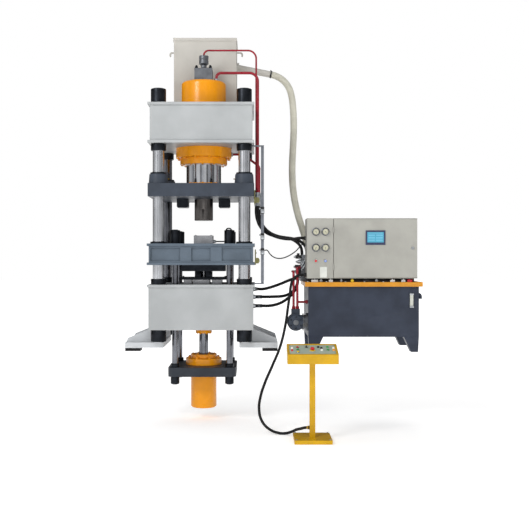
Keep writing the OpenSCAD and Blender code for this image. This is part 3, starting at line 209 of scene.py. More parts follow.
@dataclass(frozen=True)
class Enamel(Finish):
    """Sprayed machine paint on steel: a cloudy film with orange peel and small chips."""

    sheen: Sheen = Sheen.SATIN
    shade: float = 0.86
    cloud_mm: float = 320
    peel_mm: float = 9
    specular: float = 0.28
    chip_mm: float = 26
    chip_share: tuple[float, float] = (0.80, 0.83)
    chip_shade: float = 0.35

    def dress(self, pattern: Pattern) -> dict[str, Any]:
        """Lays clouds, chips and orange peel.

        Args:
            pattern: the material's nodes.

        Returns:
            The shader's inputs.
        """
        rough, coat, bump_mm = self.sheen.value
        cloud = pattern.noise(self.cloud_mm, 5)
        film = pattern.blend(
            pattern.remap(cloud, 0.36, 0.66), linear(self.colour), linear(self.colour, self.shade))
        chips = pattern.remap(pattern.noise(self.chip_mm, 3), *self.chip_share)
        return {
            "Base Color": pattern.blend(chips, film, linear(self.colour, self.chip_shade)),
            "Roughness": pattern.remap(cloud, 0.3, 0.7, rough - 0.06, rough + 0.08),
            "Normal": pattern.bump(pattern.noise(self.peel_mm, 2), 0.35, bump_mm),
            "Specular IOR Level": self.specular, "Coat Weight": coat, "Coat Roughness": 0.12}


@dataclass(frozen=True)
class Metal(Finish):
    """Bare or plated metal: lines along one axis from turning or drawing, and a thin uneven oil film."""

    roughness: float = 0.2
    spread: float = 0.08
    line_mm: tuple[float, float, float] = (7, 7, 700)
    film_mm: float = 180
    shade: float = 0.78

    def dress(self, pattern: Pattern) -> dict[str, Any]:
        """Lays drawn lines and the oil film.

        Args:
            pattern: the material's nodes.

        Returns:
            The shader's inputs.
        """
        along = add(pattern.tree, "ShaderNodeMapping", {
            "Vector": pattern.coords, "Scale": tuple(per_metre(size) for size in self.line_mm)})
        lines = pattern.noise(1000, 3, along.outputs[0])
        film = pattern.remap(pattern.noise(self.film_mm, 4), 0.35, 0.7)
        return {
            "Base Color": pattern.blend(film, linear(self.colour), linear(self.colour, self.shade)),
            "Roughness": pattern.remap(
                lines, 0.3, 0.7, self.roughness - self.spread, self.roughness + self.spread),
            "Normal": pattern.bump(lines, 0.12, 0.05),
            "Metallic": 1.0}


@dataclass(frozen=True)
class Moulded(Finish):
    """Moulded plastic or rubber: a fine eroded skin with soft handling marks."""

    roughness: float = 0.35
    grain_mm: float = 2.5
    grain_height_mm: float = 0.05
    marks_mm: float = 60
    coat: float = 0.0
    specular: float = 0.4

    def dress(self, pattern: Pattern) -> dict[str, Any]:
        """Lays the eroded skin and the marks.

        Args:
            pattern: the material's nodes.

        Returns:
            The shader's inputs.
        """
        base = linear(self.colour)
        pale = (*(min(1.0, c * 1.15 + 0.004) for c in base[:3]), 1.0)
        marks = pattern.noise(self.marks_mm, 4)
        return {
            "Base Color": pattern.blend(pattern.remap(marks, 0.4, 0.7), base, pale),
            "Roughness": pattern.remap(marks, 0.3, 0.7, self.roughness - 0.05, self.roughness + 0.1),
            "Normal": pattern.bump(pattern.noise(self.grain_mm, 2), 0.3, self.grain_height_mm),
            "Specular IOR Level": self.specular, "Coat Weight": self.coat}


@dataclass(frozen=True)
class Lit(Finish):
    """A lit panel or lamp lens under clear plastic, and the oil level glass, whose faint glow is painted light:
    the colour glows a little, with an uneven backlight.
    """

    glow: float = 0.5
    cell_mm: float = 45
    dim: float = 0.82

    def dress(self, pattern: Pattern) -> dict[str, Any]:
        """Lays the uneven backlight.

        Args:
            pattern: the material's nodes.

        Returns:
            The shader's inputs.
        """
        light = pattern.blend(
            pattern.noise(self.cell_mm, 1), linear(self.colour), linear(self.colour, self.dim))
        return {"Base Color": light, "Emission Color": light, "Emission Strength": self.glow, "Roughness": 0.12}


@dataclass(frozen=True)
class Backdrop(Finish):
    """Plain studio paper that is lit from behind, more so away from the press, so that it fades to white."""

    glow: float = 0.42
    far_glow: float = 0.95
    near_far: tuple[float, float] = (3.5, 11.0)

    def dress(self, pattern: Pattern) -> dict[str, Any]:
        """Lays the light from behind.

        Args:
            pattern: the material's nodes.

        Returns:
            The shader's inputs.
        """
        away = add(pattern.tree, "ShaderNodeVectorMath", {0: pattern.coords}, operation="LENGTH")
        return {
            "Emission Strength": pattern.remap(
                away.outputs["Value"], *self.near_far, self.glow, self.far_glow),
            "Emission Color": linear(self.colour), "Roughness": 0.9, "Specular IOR Level": 0.0}


# Alkyd machine enamel: an even film with soft highlights
BEAM = Enamel("light_grey_enamel", "beam_paint", "ABAEAF")
# The feet take the beam's paint made lighter: painted light against the shade that the beam casts on them
FEET_PAINTED_LIGHTER = Enamel("beam_enamel_painted_lighter", "beam_paint", "C4C7CA")
GREY = Enamel("warm_grey_enamel", "grey_paint", "BDBAB3")
# Powder coat baked on sheet: a fine sandy skin
CABINET = Enamel("beige_powder_coat", "cabinet_paint", "A3A29B", Sheen.TEXTURED, cloud_mm=240, peel_mm=5)
# Dark enamel on machined plates: oil stains show as clouds
SLIDE = Enamel("slate_enamel", "slide_paint", "3B424D", shade=0.72, cloud_mm=180)
# The yoke takes the slide's slate paint made darker: painted shade
YOKE_PAINTED_SHADE = Enamel("slate_enamel_painted_shade", "slide_paint", "2E333B", shade=0.72, cloud_mm=150)
DIE_PLATE = Enamel("blue_grey_enamel", "die_plate_paint", "5C6874", shade=0.78, cloud_mm=200)
OIL_TANK = Enamel("dark_blue_grey_enamel", "oil_tank_paint", "2C3342", shade=0.74, cloud_mm=160)
PUMP = Enamel("dark_casting_enamel", "pump_paint", "333B48", shade=0.7, cloud_mm=70, peel_mm=14)
# Gloss enamel: a hard bright film that streaks the light
ORANGE = Enamel("orange_gloss_enamel", "cylinder_paint", "EE990C", Sheen.GLOSS, shade=0.84, cloud_mm=210)
COVER = Enamel("amber_gloss_enamel", "cover_paint", "D08C18", Sheen.GLOSS, shade=0.82, cloud_mm=150)
YELLOW = Enamel("yellow_gloss_enamel", "console_paint", "CFA106", Sheen.GLOSS, shade=0.84, cloud_mm=110,
                specular=0.25)
RED = Enamel("red_gloss_enamel", "pipe_paint", "96202E", Sheen.GLOSS, shade=0.75, cloud_mm=120)
# Hard chrome on ground bars: near mirror, with faint lines along the bar
CHROME = Metal("hard_chrome", "chrome_steel", "CACCD0", 0.25, 0.05)
# The ram is polished more than the columns
RAM_CHROME = Metal("polished_hard_chrome", "chrome_steel", "CACCD0", 0.12, 0.04)
# The same on the long rods and the rear pair of columns: its colour is darkened as painted shade, and an uneven
# film of oil lies on it
SHADE_DARKENED_CHROME = Metal("hard_chrome_painted_shade", "chrome_steel", "787A80", 0.18, 0.06, shade=0.62, film_mm=140)
# Ground tool steel: finer lines and a warmer film of oil
GROUND = Metal("ground_tool_steel", "ground_steel", "AEAFB2", 0.30, 0.08, (120, 120, 4), 90)
OILED = Metal("oiled_tool_steel", "ground_steel", "6C6866", 0.34, 0.08, (8, 8, 160), 70, 0.7)
DRAWN = Metal("drawn_flat_steel", "rail_steel", "8C9098", 0.36, 0.08, (5, 5, 300), 80)
# Bright and yellow zinc plate: soft shine with cloudy colour
ZINC = Metal("bright_zinc_plate", "zinc_steel", "BEC2C6", 0.30, 0.08, (12, 12, 12), 30)
OLIVE = Metal("yellow_passivated_zinc", "passivated_zinc", "A09C6C", 0.38, 0.08, (14, 14, 14), 34, 0.62)
PHOSPHATE = Metal("phosphated_steel", "valve_steel", "7A7D82", 0.45, 0.08, (9, 9, 60), 60, 0.7)
BRASS = Metal("turned_brass", "gauge_metal", "B8923C", 0.24, 0.07, (6, 6, 6), 25)
BEZEL = Metal("nickel_plate", "gauge_metal", "C8C8C0", 0.20, 0.06, (9, 9, 9), 30)
# Black oxide on turned steel: dark and oily, with turned rings
BLACK = Metal("black_oxide_steel", "black_oxide", "303338", 0.40, 0.10, (300, 300, 5), 60, 0.6)
RED_PLASTIC = Moulded("red_moulded_plastic", "red_plastic", "C01826", 0.28, coat=0.3)
BLUE_PLASTIC = Moulded("blue_moulded_plastic", "blue_plastic", "2A5FC0", 0.28, coat=0.3)
GREEN_PLASTIC = Moulded("green_moulded_plastic", "green_plastic", "2E9A48", 0.28, coat=0.3)
YELLOW_PLASTIC = Moulded("yellow_moulded_plastic", "yellow_plastic", "E0C020", 0.28, coat=0.3)
BLACK_PLASTIC = Moulded("black_moulded_plastic", "black_plastic", "1C1C1E", 0.42)
PALE_PLASTIC = Moulded("pale_grey_moulded_plastic", "control_plastic", "D4D6D6", 0.45)
DARK_BEZEL = Moulded("navy_moulded_bezel", "screen_plastic", "2E3350", 0.35)
DIAL = Moulded("printed_dial_card", "gauge_metal", "B2B09A", 0.5, grain_mm=1.5)
PANEL = Moulded("grey_green_laminate", "console_paint", "9CA898", 0.5)
PLATE = Moulded("white_printed_sheet", "control_plastic", "C8CAC4", 0.5)
# Wire-wound suction hose: a matt pale skin, and a rib wound along its grooves whose greyer colour is painted
# groove shade
HOSE_SKIN = Moulded("pale_hose_plastic", "grey_hose", "C6C4B6", 0.5, 6, 0.3, 120)
HOSE_RIB_GROOVE_SHADE = Moulded("hose_rib_painted_groove_shade", "grey_hose", "B2B0A2", 0.45, 6, 0.2, 120)
RUBBER = Moulded("black_hose_rubber", "black_rubber", "0D0D0F", 0.46, 5, 0.25, 80, specular=0.22)
SCREEN = Lit("lit_display", "screen_plastic", "4A98B4", 0.16)
SCREEN_FIELD = Lit("lit_display_field", "screen_plastic", "62AAC4", 0.16)
AMBER_LENS = Lit("amber_lens", "yellow_plastic", "E08A20", 0.25, 12)
WHITE_LENS = Lit("white_lens", "control_plastic", "E8E8E0", 0.25, 12)
# The oil level glass is no lamp: its faint glow is painted light
OIL_GLASS_PAINTED_GLOW = Lit("oil_level_glass_painted_glow", "control_plastic", "BEC0B6", 0.05, 20)


def number_of(finishes: list[Finish], finish: Finish) -> int:
    """Finds a finish's number in a list, which gets it if it is new.

    Args:
        finishes: the finishes of one mesh.
        finish: the finish to find.

    Returns:
        The material number for faces with that finish.
    """
    if finish not in finishes:
        finishes.append(finish)
    return finishes.index(finish)


class Shape:
    """A mesh in the making: operators add forms to one bmesh. Points and sizes are given in millimetres."""

    def __init__(self, finish: Finish) -> None:
        """Starts with no form.

        Args:
            finish: the first finish, which the faces take unless another is chosen.
        """
        self.bm = bmesh.new()
        self.owned = self.bm.faces.layers.int.new("owned")
        self.finishes = [finish]
        self.current = 0

    def use(self, finish: Finish) -> "Shape":
        """Gives the forms that follow another finish."""
        self.current = number_of(self.finishes, finish)
        return self

    def _claim(self, edges: Iterable[bmesh.types.BMEdge] = (), width: float = 0.0) -> None:
        """Rounds some edges of the form just added, and gives it the current finish.

        Args:
            edges: the edges to round.
            width: radius of the rounding.
        """
        chosen = list(edges)
        if width > 0 and chosen:
            bmesh.ops.bevel(self.bm, geom=chosen, offset=width * MM, offset_type="OFFSET", segments=2,
                            profile=0.5, affect="EDGES", clamp_overlap=True, material=-1)
        for face in self.bm.faces:
            if not face[self.owned]:
                face.material_index = self.current
                face[self.owned] = 1

    def block(self, low: Point, high: Point, edge: float = 0.0, turn: Matrix = Matrix.Identity(4)) -> None:
        """Adds a box.

        Args:
            low: lowest corner.
            high: highest corner.
            edge: radius of its edges.
            turn: a move applied after that, in metres.
        """
        low, high = mm(*low), mm(*high)
        at = turn @ Matrix.Translation((low + high) / 2) @ Matrix.Diagonal((*(high - low), 1))
        made = bmesh.ops.create_cube(self.bm, size=1, matrix=at)
        self._claim({e for v in made["verts"] for e in v.link_edges}, edge)

    def bar(self, start: Point, end: Point, radius: float, sides: int = 32, edge: float = 0.0) -> None:
        """Adds a round or many-sided bar.

        Args:
            start: middle of its first end.
            end: middle of its second end.
            radius: its radius over the corners.
            sides: number of sides.
            edge: radius of its rims.
        """
        start, end = mm(*start), mm(*end)
        run = end - start
        at = Matrix.Translation((start + end) / 2) @ run.to_track_quat("Z", "Y").to_matrix().to_4x4()
        made = bmesh.ops.create_cone(self.bm, cap_ends=True, cap_tris=False, segments=sides,
                                     radius1=radius * MM, radius2=radius * MM, depth=run.length, matrix=at)
        edges = {e for v in made["verts"] for e in v.link_edges}
        self._claim([e for e in edges if any(len(f.verts) > 4 for f in e.link_faces)], edge)

    def lathe(self, profile: Sequence[tuple[float, float]], base: Point, axis: Vector, steps: int = 40) -> None:
        """Turns a profile round an axis.

        Args:
            profile: radius and height of each point, from the axis round and back to it or closed on itself.
            base: the point where the height is zero.
            axis: the direction of height, of length one.
            steps: number of steps in the turn.
        """
        side = axis.orthogonal().normalized()
        base = mm(*base)
        verts = [self.bm.verts.new(base + side * (r * MM) + axis * (h * MM)) for r, h in profile]
        edges = [self.bm.edges.new(pair) for pair in zip(verts, verts[1:])]
        if profile[0][0] > 0:
            edges.append(self.bm.edges.new((verts[-1], verts[0])))
        old = set(self.bm.faces)
        bmesh.ops.spin(self.bm, geom=verts + edges, cent=base, axis=axis, angle=math.tau, steps=steps,
                       use_merge=True)
        loose = list({v for f in self.bm.faces if f not in old for v in f.verts})
        bmesh.ops.remove_doubles(self.bm, verts=loose, dist=1e-6)
        bmesh.ops.recalc_face_normals(self.bm, faces=[f for f in self.bm.faces if f not in old])
        self._claim()

    def ring(self, centre: Point, axis: Vector, radius: float, wire: float) -> None:
        """Adds a round ring of wire about an axis."""
        turns = [math.tau * i / 8 for i in range(8)]
        self.lathe([(radius + wire * math.cos(a), wire * math.sin(a)) for a in turns], centre, axis, 36)

    def screw(self, seat: Point, axis: Vector, radius: float, height: float, sides: int = 20) -> None:
        """Adds a cap screw's head with its hexagon socket.

        Args:
            seat: middle of the head's underside.
            axis: the way the head points.
            radius: radius of the head.
            height: height of the head.
            sides: number of sides.
        """
        edge, socket, depth = radius * 0.12, radius * 0.5, height * 0.45
        self.lathe([(0, 0), (radius, 0), (radius, height - edge), (radius - edge, height),
                    (socket, height), (socket * 0.9, depth), (0, depth)], seat, axis, sides)

    def bolt_ring(self, middle: Point, axis: Vector, radius: float, count: int, head: float, height: float,
                  phase: float = 0.0) -> None:
        """Sets cap screws on a circle.

        Args:
            middle: middle of the circle, on the face where the heads sit.
            axis: the way the heads point.
            radius: radius of the circle.
            count: number of screws.
            head: radius of a head.
            height: height of a head.
            phase: place of the first screw in degrees.
        """
        for i in range(count):
            turn = Matrix.Rotation(math.radians(phase + 360 * i / count), 3, axis)
            self.screw(Vector(middle) + turn @ (RIGHT * radius), axis, head, height)

    def hexagon(self, seat: Point, axis: Vector, across: float, height: float) -> None:
        """Adds a hexagon nut or head with rounded edges, standing on seat."""
        seat = Vector(seat)
        self.bar(seat, seat + axis * height, across / math.sqrt(3), 6, across * 0.04)

    def piece(self, name: str, body: str) -> bpy.types.Object:
        """Turns the shape into an object that rides on a body.

        Args:
            name: the piece's name.
            body: the CAD body that it rides on.

        Returns:
            The new object.
        """
        self.bm.faces.layers.int.remove(self.owned)
        return place(self.bm, name, body, self.finishes, SHARP_MADE)


def place(bm: bmesh.types.BMesh, name: str, body: str, finishes: Sequence[Finish],
          corner: float) -> bpy.types.Object:
    """Makes an object of a bmesh, dresses it and sets it riding.

    Args:
        bm: the finished bmesh, which is freed.
        name: the piece's name.
        body: the CAD body that it rides on.
        finishes: its finishes, in the order of the faces' material numbers.
        corner: edges sharper than this many degrees stay sharp.

    Returns:
        The new object.
    """
    for face in bm.faces:
        face.smooth = True
    mesh = bpy.data.meshes.new(name)
    bm.to_mesh(mesh)
    bm.free()
    mesh.set_sharp_from_angle(angle=math.radians(corner))
    for finish in finishes:
        mesh.materials.append(finish.material())
    LOG.info("%s: %d faces on %s", name, len(mesh.polygons), body)
    return ride(name, mesh, body)


def link(name: str, data: bpy.types.ID) -> bpy.types.Object:
    """Makes an object of a mesh, curve, lamp or camera and puts it in the scene.

    Args:
        name: the object's name.
        data: what it shows.

    Returns:
        The new object.
    """
    made = bpy.data.objects.new(name, data)
    bpy.context.scene.collection.objects.link(made)
    return made


def ride(name: str, data: bpy.types.ID, body: str) -> bpy.types.Object:
    """Makes an object that rides on a body.

    Args:
        name: the piece's name.
        data: its mesh or curve.
        body: the CAD body that it rides on.

    Returns:
        The new object.
    """
    made = link(name, data)
    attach(made, body)
    return made


BODY_OF = {node: body for body, nodes in frame["record"]["behaviour"]["bodies"].items() for node in nodes}


@dataclass
class Skin:
    """A finished copy of a CAD piece: flat faces joined, edges rounded, one finish or more.

    Sizes are in millimetres: the edges' radius, and the height of a level cut that parts two finishes.
    """

    node: str
    finish: Finish
    edge: float
    level: float | None = None
    zones: list[tuple[Finish, Vector, Vector, Matrix]] = field(default_factory=list)

    def zone(self, finish: Finish, low: Point, high: Point, space: Matrix = Matrix.Identity(4)) -> "Skin":
        """Gives the faces with their middle in a box another finish.

        Args:
            finish: the finish of those faces.
            low: lowest corner of the box, in millimetres.
            high: highest corner of the box, in millimetres.
            space: turns a point of the press's frame into the box's own frame.

        Returns:
            The skin itself.
        """
        self.zones.append((finish, mm(*low), mm(*high), space))
        return self

    def piece(self) -> bpy.types.Object:
        """Makes the copy, which stands for its node.

        Returns:
            The new object.
        """
        bm = bmesh.new()
        bm.from_mesh(frame["nodes"][self.node].data)
        bmesh.ops.remove_doubles(bm, verts=bm.verts, dist=2e-6)
        bmesh.ops.dissolve_limit(bm, angle_limit=math.radians(0.4), verts=bm.verts, edges=bm.edges,
                                 use_dissolve_boundaries=False)
        if self.level is not None:
            bmesh.ops.bisect_plane(bm, geom=[*bm.verts, *bm.edges, *bm.faces],
                                   plane_co=UP * (self.level * MM), plane_no=UP)
        finishes = [self.finish]
        for finish, low, high, space in self.zones:
            number = number_of(finishes, finish)
            for face in bm.faces:
                middle = space @ face.calc_center_median()
                if all(low[i] <= middle[i] <= high[i] for i in range(3)):
                    face.material_index = number
        made = place(bm, self.node + "_finish", BODY_OF[self.node], finishes, SHARP_CAD)
        if self.edge > 0:
            rounding = made.modifiers.new("edges", "BEVEL")
            rounding.width = self.edge * MM
            rounding.segments = 2
            rounding.limit_method = "ANGLE"
            rounding.angle_limit = math.radians(SHARP_CAD)
            rounding.harden_normals = True
            rounding.use_clamp_overlap = True
        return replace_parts(made, self.node)


def plain(*rows: tuple[str, Finish, float]) -> None:
    """Finishes CAD pieces that have one finish each.

    Args:
        rows: the node, its finish and its edges' radius in millimetres.
    """
    for node, finish, edge in rows:
        Skin(node, finish, edge).piece()


@dataclass
class Studio:
    """Camera, pale floor and soft light."""

    eye: Vector = field(default_factory=lambda: mm(563, -9950, 977))
    frame_px: tuple[int, int] = (529, 526)
    focal_px: float = 905
    axis_px: tuple[float, float] = (255, 258)
    floor_span: float = 60
    # Share of the turn from the back, over the left and the front, with the brightness of the studio there
    walls: tuple[tuple[float, str, float], ...] = (
        (0.00, "B8AFA4", 0.30), (0.08, "5A4A3C", 0.22), (0.17, "8A7460", 0.38), (0.22, "FFFFFF", 1.10),
        (0.285, "E8EAEE", 0.95), (0.305, "4A4644", 0.40), (0.325, "FFFFFF", 1.40), (0.43, "FFFFFF", 1.50),
        (0.455, "6A6A70", 0.45), (0.475, "F0F2F6", 1.10), (0.545, "FFFFFF", 1.50), (0.57, "5A5658", 0.40),
        (0.595, "E8EAEE", 0.95), (0.66, "D8DADE", 0.85), (0.69, "4E4A48", 0.40), (0.73, "F4F4F4", 1.20),
        (0.82, "E0E0E4", 0.80), (0.90, "3A3634", 0.25), (1.00, "B8AFA4", 0.30))

    def camera(self) -> None:
        """Sets the camera at the photograph's viewpoint."""
        data = bpy.data.cameras.new("photo_view")
        width = self.frame_px[0]
        data.sensor_fit = "HORIZONTAL"
        data.sensor_width = 36
        data.lens = self.focal_px / width * data.sensor_width
        data.shift_x = (self.frame_px[0] / 2 - self.axis_px[0]) / width
        data.shift_y = (self.axis_px[1] - self.frame_px[1] / 2) / width
        data.clip_end = 200
        made = link("photo_view", data)
        made.location = self.eye
        made.rotation_euler = (math.radians(90), 0, 0)
        bpy.context.scene.camera = made

    def floor(self) -> None:
        """Lays the pale floor under the console's base."""
        bm = bmesh.new()
        bmesh.ops.create_grid(bm, x_segments=2, y_segments=2, size=self.floor_span,
                              matrix=Matrix.Translation((0, 0, CAD_BOX[0][2] - 0.5 * MM)))
        mesh = bpy.data.meshes.new("floor")
        bm.to_mesh(mesh)
        bm.free()
        mesh.materials.append(Backdrop("studio_floor", "none", "F4F4F4").material())
        made = link("floor", mesh)

    def world(self) -> None:
        """Surrounds the press with bright and dim studio walls, which the chrome mirrors."""
        made = bpy.data.worlds.new("studio")
        made.use_nodes = True
        bpy.context.scene.world = made
        tree = made.node_tree
        tree.nodes.clear()
        ray = Pattern(tree, add(tree, "ShaderNodeTexCoord").outputs["Generated"])
        parts = add(tree, "ShaderNodeSeparateXYZ", {0: ray.coords})
        front = add(tree, "ShaderNodeMath", {0: parts.outputs["Y"], 1: -1.0}, operation="MULTIPLY")
        angle = add(tree, "ShaderNodeMath", {0: parts.outputs["X"], 1: front.outputs[0]}, operation="ARCTAN2")
        ramp = add(tree, "ShaderNodeValToRGB", {0: ray.remap(angle.outputs[0], -math.pi, math.pi)})
        stops = ramp.color_ramp.elements
        while len(stops) < len(self.walls):
            stops.new(0.5)
        for stop, (at, colour, level) in zip(stops, self.walls):
            stop.position = at
            stop.color = linear(colour, level)
        dome = ray.blend(
            ray.remap(parts.outputs["Z"], 0.25, 0.8), ramp.outputs["Color"], (1.1, 1.1, 1.1, 1.0))
        lit = add(tree, "ShaderNodeBackground", {"Color": dome, "Strength": 0.56})
        white = add(tree, "ShaderNodeBackground", {"Color": (1.0, 1.0, 1.0, 1.0), "Strength": 1.0})
        seen = add(tree, "ShaderNodeLightPath").outputs["Is Camera Ray"]
        both = add(tree, "ShaderNodeMixShader", {0: seen, 1: lit.outputs[0], 2: white.outputs[0]})
        add(tree, "ShaderNodeOutputWorld", {"Surface": both.outputs[0]})

    def lamp(self, name: str, spot: Point, aim: Point, size: float, power: float,
             mirrored: bool = False) -> None:
        """Hangs one square soft light.

        Args:
            name: the light's name.
            spot: where it hangs, in metres.
            aim: the point that it is aimed at, in metres.
            size: its side in metres.
            power: its power in watts.
            mirrored: whether the chrome mirrors it.
        """
        data = bpy.data.lights.new(name, "AREA")
        data.size = size
        data.energy = power
        made = link(name, data)
        made.visible_glossy = mirrored
        made.location = spot
        made.rotation_euler = (Vector(aim) - Vector(spot)).to_track_quat("-Z", "Y").to_euler()

    def build(self) -> None:
        """Makes the camera first, then floor, walls and lights."""
        self.camera()
        self.floor()
        self.world()
        middle = (0.7, 0, 1.2)
        self.lamp("key", (-4.5, -7.0, 6.0), middle, 2.6, 320, True)
        self.lamp("fill", (4.5, -8.5, 1.0), middle, 4.0, 200)
        self.lamp("rear", (1.0, 6.5, 6.5), middle, 4.0, 190)
        bpy.context.scene.view_settings.view_transform = "Standard"


@dataclass
class Hoses:
    """The free hoses and cables, on the routes that their solids follow, in millimetres."""

    suction: tuple = (
        (742, 510, 3097), (757, 510, 3094), (804, 508, 3079), (848, 505, 3057), (888, 502, 3027),
        (922, 498, 2991), (949, 494, 2949), (969, 489, 2903), (985, 484, 2840), (996, 478, 2764),
        (1003, 470, 2676), (1007, 456, 2584), (1006, 425, 2420), (996, 385, 2220), (986, 340, 2020),
        (988, 295, 1830), (1008, 255, 1640), (1046, 215, 1460), (1094, 175, 1300), (1142, 140, 1130),
        (1176, 118, 950), (1190, 110, 850), (1190, 110, 767))
    pressure: tuple = (
        (593, -60, 1546), (593, -60, 1470), (606, -70, 1392), (642, -96, 1316), (702, -136, 1254),
        (776, -180, 1212), (858, -224, 1188), (930, -258, 1180), (985, -282, 1182), (1025, -295, 1188),
        (1058, -300, 1190), (1085, -300, 1190))
    pilot: tuple = (
        (576, 0, 1546), (576, 0, 1470), (590, -5, 1392), (624, -12, 1318), (680, -22, 1260),
        (750, -32, 1226), (828, -42, 1210), (900, -52, 1200), (960, -60, 1183), (1007, -67, 1158),
        (1044, -73, 1125), (1067, -78, 1083), (1075, -80, 1036), (1075, -80, 990))
    back: tuple = (
        (610, 60, 1546), (610, 60, 1470), (624, 58, 1394), (660, 54, 1322), (718, 46, 1264),
        (792, 34, 1226), (872, 20, 1206), (956, 2, 1194), (1036, -16, 1172), (1098, -30, 1126),
        (1132, -38, 1060), (1140, -40, 1015), (1140, -40, 985))
    sensor: tuple = (
        (668, -300, 1060), (690, -300, 1060), (724, -298, 1018), (768, -294, 984), (812, -289, 973),
        (858, -284, 976), (906, -279, 992), (954, -274, 1018), (1000, -269, 1052), (1040, -262, 1094),
        (1066, -260, 1120), (1088, -260, 1120))
    lower: tuple = (
        (590, -100, 640), (650, -100, 640), (715, -102, 653.5), (780, -105, 674), (845, -110, 698),
        (905, -118, 723), (948, -124, 740.6), (972, -127, 748.6), (993, -129, 753.3), (1011, -130, 755),
        (1030, -130, 755))
    left: tuple = (
        (640, -60, 553), (705, -60, 553), (775, -58, 555), (845, -54, 558), (910, -48, 572),
        (966, -38, 602), (1006, -28, 648), (1026, -21, 698), (1030, -20, 730),
        (1030, -20, 745))
    right: tuple = (
        (640, -160, 460), (710, -160, 460), (778, -154, 470), (842, -146, 492), (898, -136, 524),
        (946, -122, 564), (986, -106, 610), (1013, -92, 656), (1027, -83, 702), (1030, -80, 731),
        (1030, -80, 745))
    console: tuple = (
        (1073, -450, 800), (1054, -450, 800), (1012, -451, 791), (976, -453, 767), (951, -456, 730),
        (940, -460, 690), (928, -468, 600), (908, -486, 464), (878, -520, 270), (822, -572, 54),
        (740, -640, -134), (660, -708, -309), (616, -768, -443), (604, -818, -547), (628, -866, -650),
        (700, -912, -728), (800, -945, -764), (870, -970, -762), (930, -1005, -738), (972, -1058, -708),
        (1005, -1115, -690), (1030, -1163, -674), (1052, -1199, -663), (1072, -1220, -658))
    rib_pitch: float = 15 * MM
    rib_wire: float = 2.2 * MM
    rib_steps: int = 14

    def strand(self, name: str, kind: str, points: Sequence[Vector], radius: float, rounds: int,
               finish: Finish) -> bpy.types.Object:
        """Makes one round curve.

        Args:
            name: the piece's name.
            kind: BEZIER for a smooth curve through the points, POLY for straight runs between them.
            points: its points in metres.
            radius: its radius in metres.
            rounds: how finely it is rounded.
            finish: its finish.

        Returns:
            The curve's object.
        """
        data = bpy.data.curves.new(name, "CURVE")
        data.dimensions = "3D"
        data.resolution_u = 10
        data.bevel_depth = radius
        data.bevel_resolution = rounds
        data.use_fill_caps = True
        spline = data.splines.new(kind)
        smooth_line = kind == "BEZIER"
        knots = spline.bezier_points if smooth_line else spline.points
        knots.add(len(points) - 1)
        for knot, at in zip(knots, points):
            knot.co = at if smooth_line else (*at, 1)
            if smooth_line:
                knot.handle_left_type = knot.handle_right_type = "AUTO"
        data.materials.append(finish.material())
        LOG.info("%s: %d points", name, len(points))
        return ride(name, data, "frame")

    def cord(self, name: str, route: Sequence[Point], diameter: float, node: str, finish: Finish = RUBBER) -> bpy.types.Object:
        """Args:
            name: the piece's name.
            route: points in millimetres.
            diameter: the outer diameter in metres.
            node: the CAD piece that it stands for.
            finish: its finish.

        Returns:
            The cord's object.
        """
        made = self.strand(name, "BEZIER", [mm(*at) for at in route], diameter / 2, 5, finish)
        bpy.context.view_layer.update()
        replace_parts(made, node)
        return made

    def ribs(self, name: str, route: Sequence[Point], diameter: float) -> None:
        """Winds the rib of the suction hose round its route, and follows the route by steps.

        Args:
            name: the piece's name.
            route: the hose's points in millimetres.
            diameter: the hose's outer diameter in metres.
        """
        points = [mm(*at) for at in route]
        wound = []
        travelled = 0.0
        side = Vector((0, 1, 0))
        for i in range(len(points) - 1):
            four = (points[max(i - 1, 0)], points[i], points[i + 1], points[min(i + 2, len(points) - 1)])
            length = (points[i + 1] - points[i]).length
            count = max(2, round(length / self.rib_pitch * self.rib_steps))
            for k in range(count):
                t = k / count
                middle = smooth(*four, t)
                way = (smooth(*four, t + 0.5 / count) - middle).normalized()
                side = (side - way * side.dot(way)).normalized()
                turn = math.tau * (travelled + length * t) / self.rib_pitch
                wound.append(middle + (side * math.cos(turn) + way.cross(side) * math.sin(turn)) * diameter / 2)
            travelled += length
        # The rib's darker grey is painted shade in the hose's grooves.
        self.strand(name, "POLY", wound, self.rib_wire, 1, HOSE_RIB_GROOVE_SHADE)

    def build(self) -> None:
        """Makes every hose and cable."""
        self.cord("suction_hose_wall", self.suction, 75 * MM, "suction_hose", HOSE_SKIN)
        self.ribs("suction_hose_rib", self.suction, 75 * MM)
        for name in ("pressure", "pilot", "back", "lower", "left", "right"):
            self.cord(name + "_hose", getattr(self, name), 32 * MM, "pressure_hoses")
        self.cord("stroke_sensor_cable", self.sensor, 12 * MM, "sensor_cable", RUBBER)
        self.cord("console_lead", self.console, 28 * MM, "console_cable")


def smooth(a: Vector, b: Vector, c: Vector, d: Vector, t: float) -> Vector:
    """A point between b and c on the smooth line through four points."""
    return 0.5 * (2 * b + (c - a) * t + (2 * a - 5 * b + 4 * c - d) * t * t + (3 * b - a - 3 * c + d) * t ** 3)


def weld(name: str, half: float, heights: Sequence[float]) -> None:
    """Runs weld beads round a square beam.

    Args:
        name: the piece's name.
        half: half the beam's width in millimetres.
        heights: the beads' heights in millimetres.
    """
    bead = Shape(BEAM)
    for z in heights:
        corners = [(x * half, y * half, z) for x, y in CORNERS]
        for start, end in zip(corners, (*corners[1:], corners[0])):
            bead.bar(start, end, 5, 12)
    bead.piece(name, "frame")


def guide_screws(heads: Shape, top: float, side_x: float, side_z: float) -> None:
    """Screws down the collars round the columns, and the striker on the right side.

    Args:
        heads: the shape that gets the screws.
        top: height of the collars' tops in millimetres.
        side_x: the striker's face in millimetres.
        side_z: the height of its screws in millimetres.
    """
    heads.use(BLACK)
    for x, y in CORNERS:
        heads.bolt_ring((x * COLUMN_AT, y * COLUMN_AT, top), UP, 73, 4, 6.5, 5, 45)
    heads.use(ZINC)
    for y in (-320, -280):
        heads.hexagon((side_x, y, side_z), RIGHT, 15, 7)


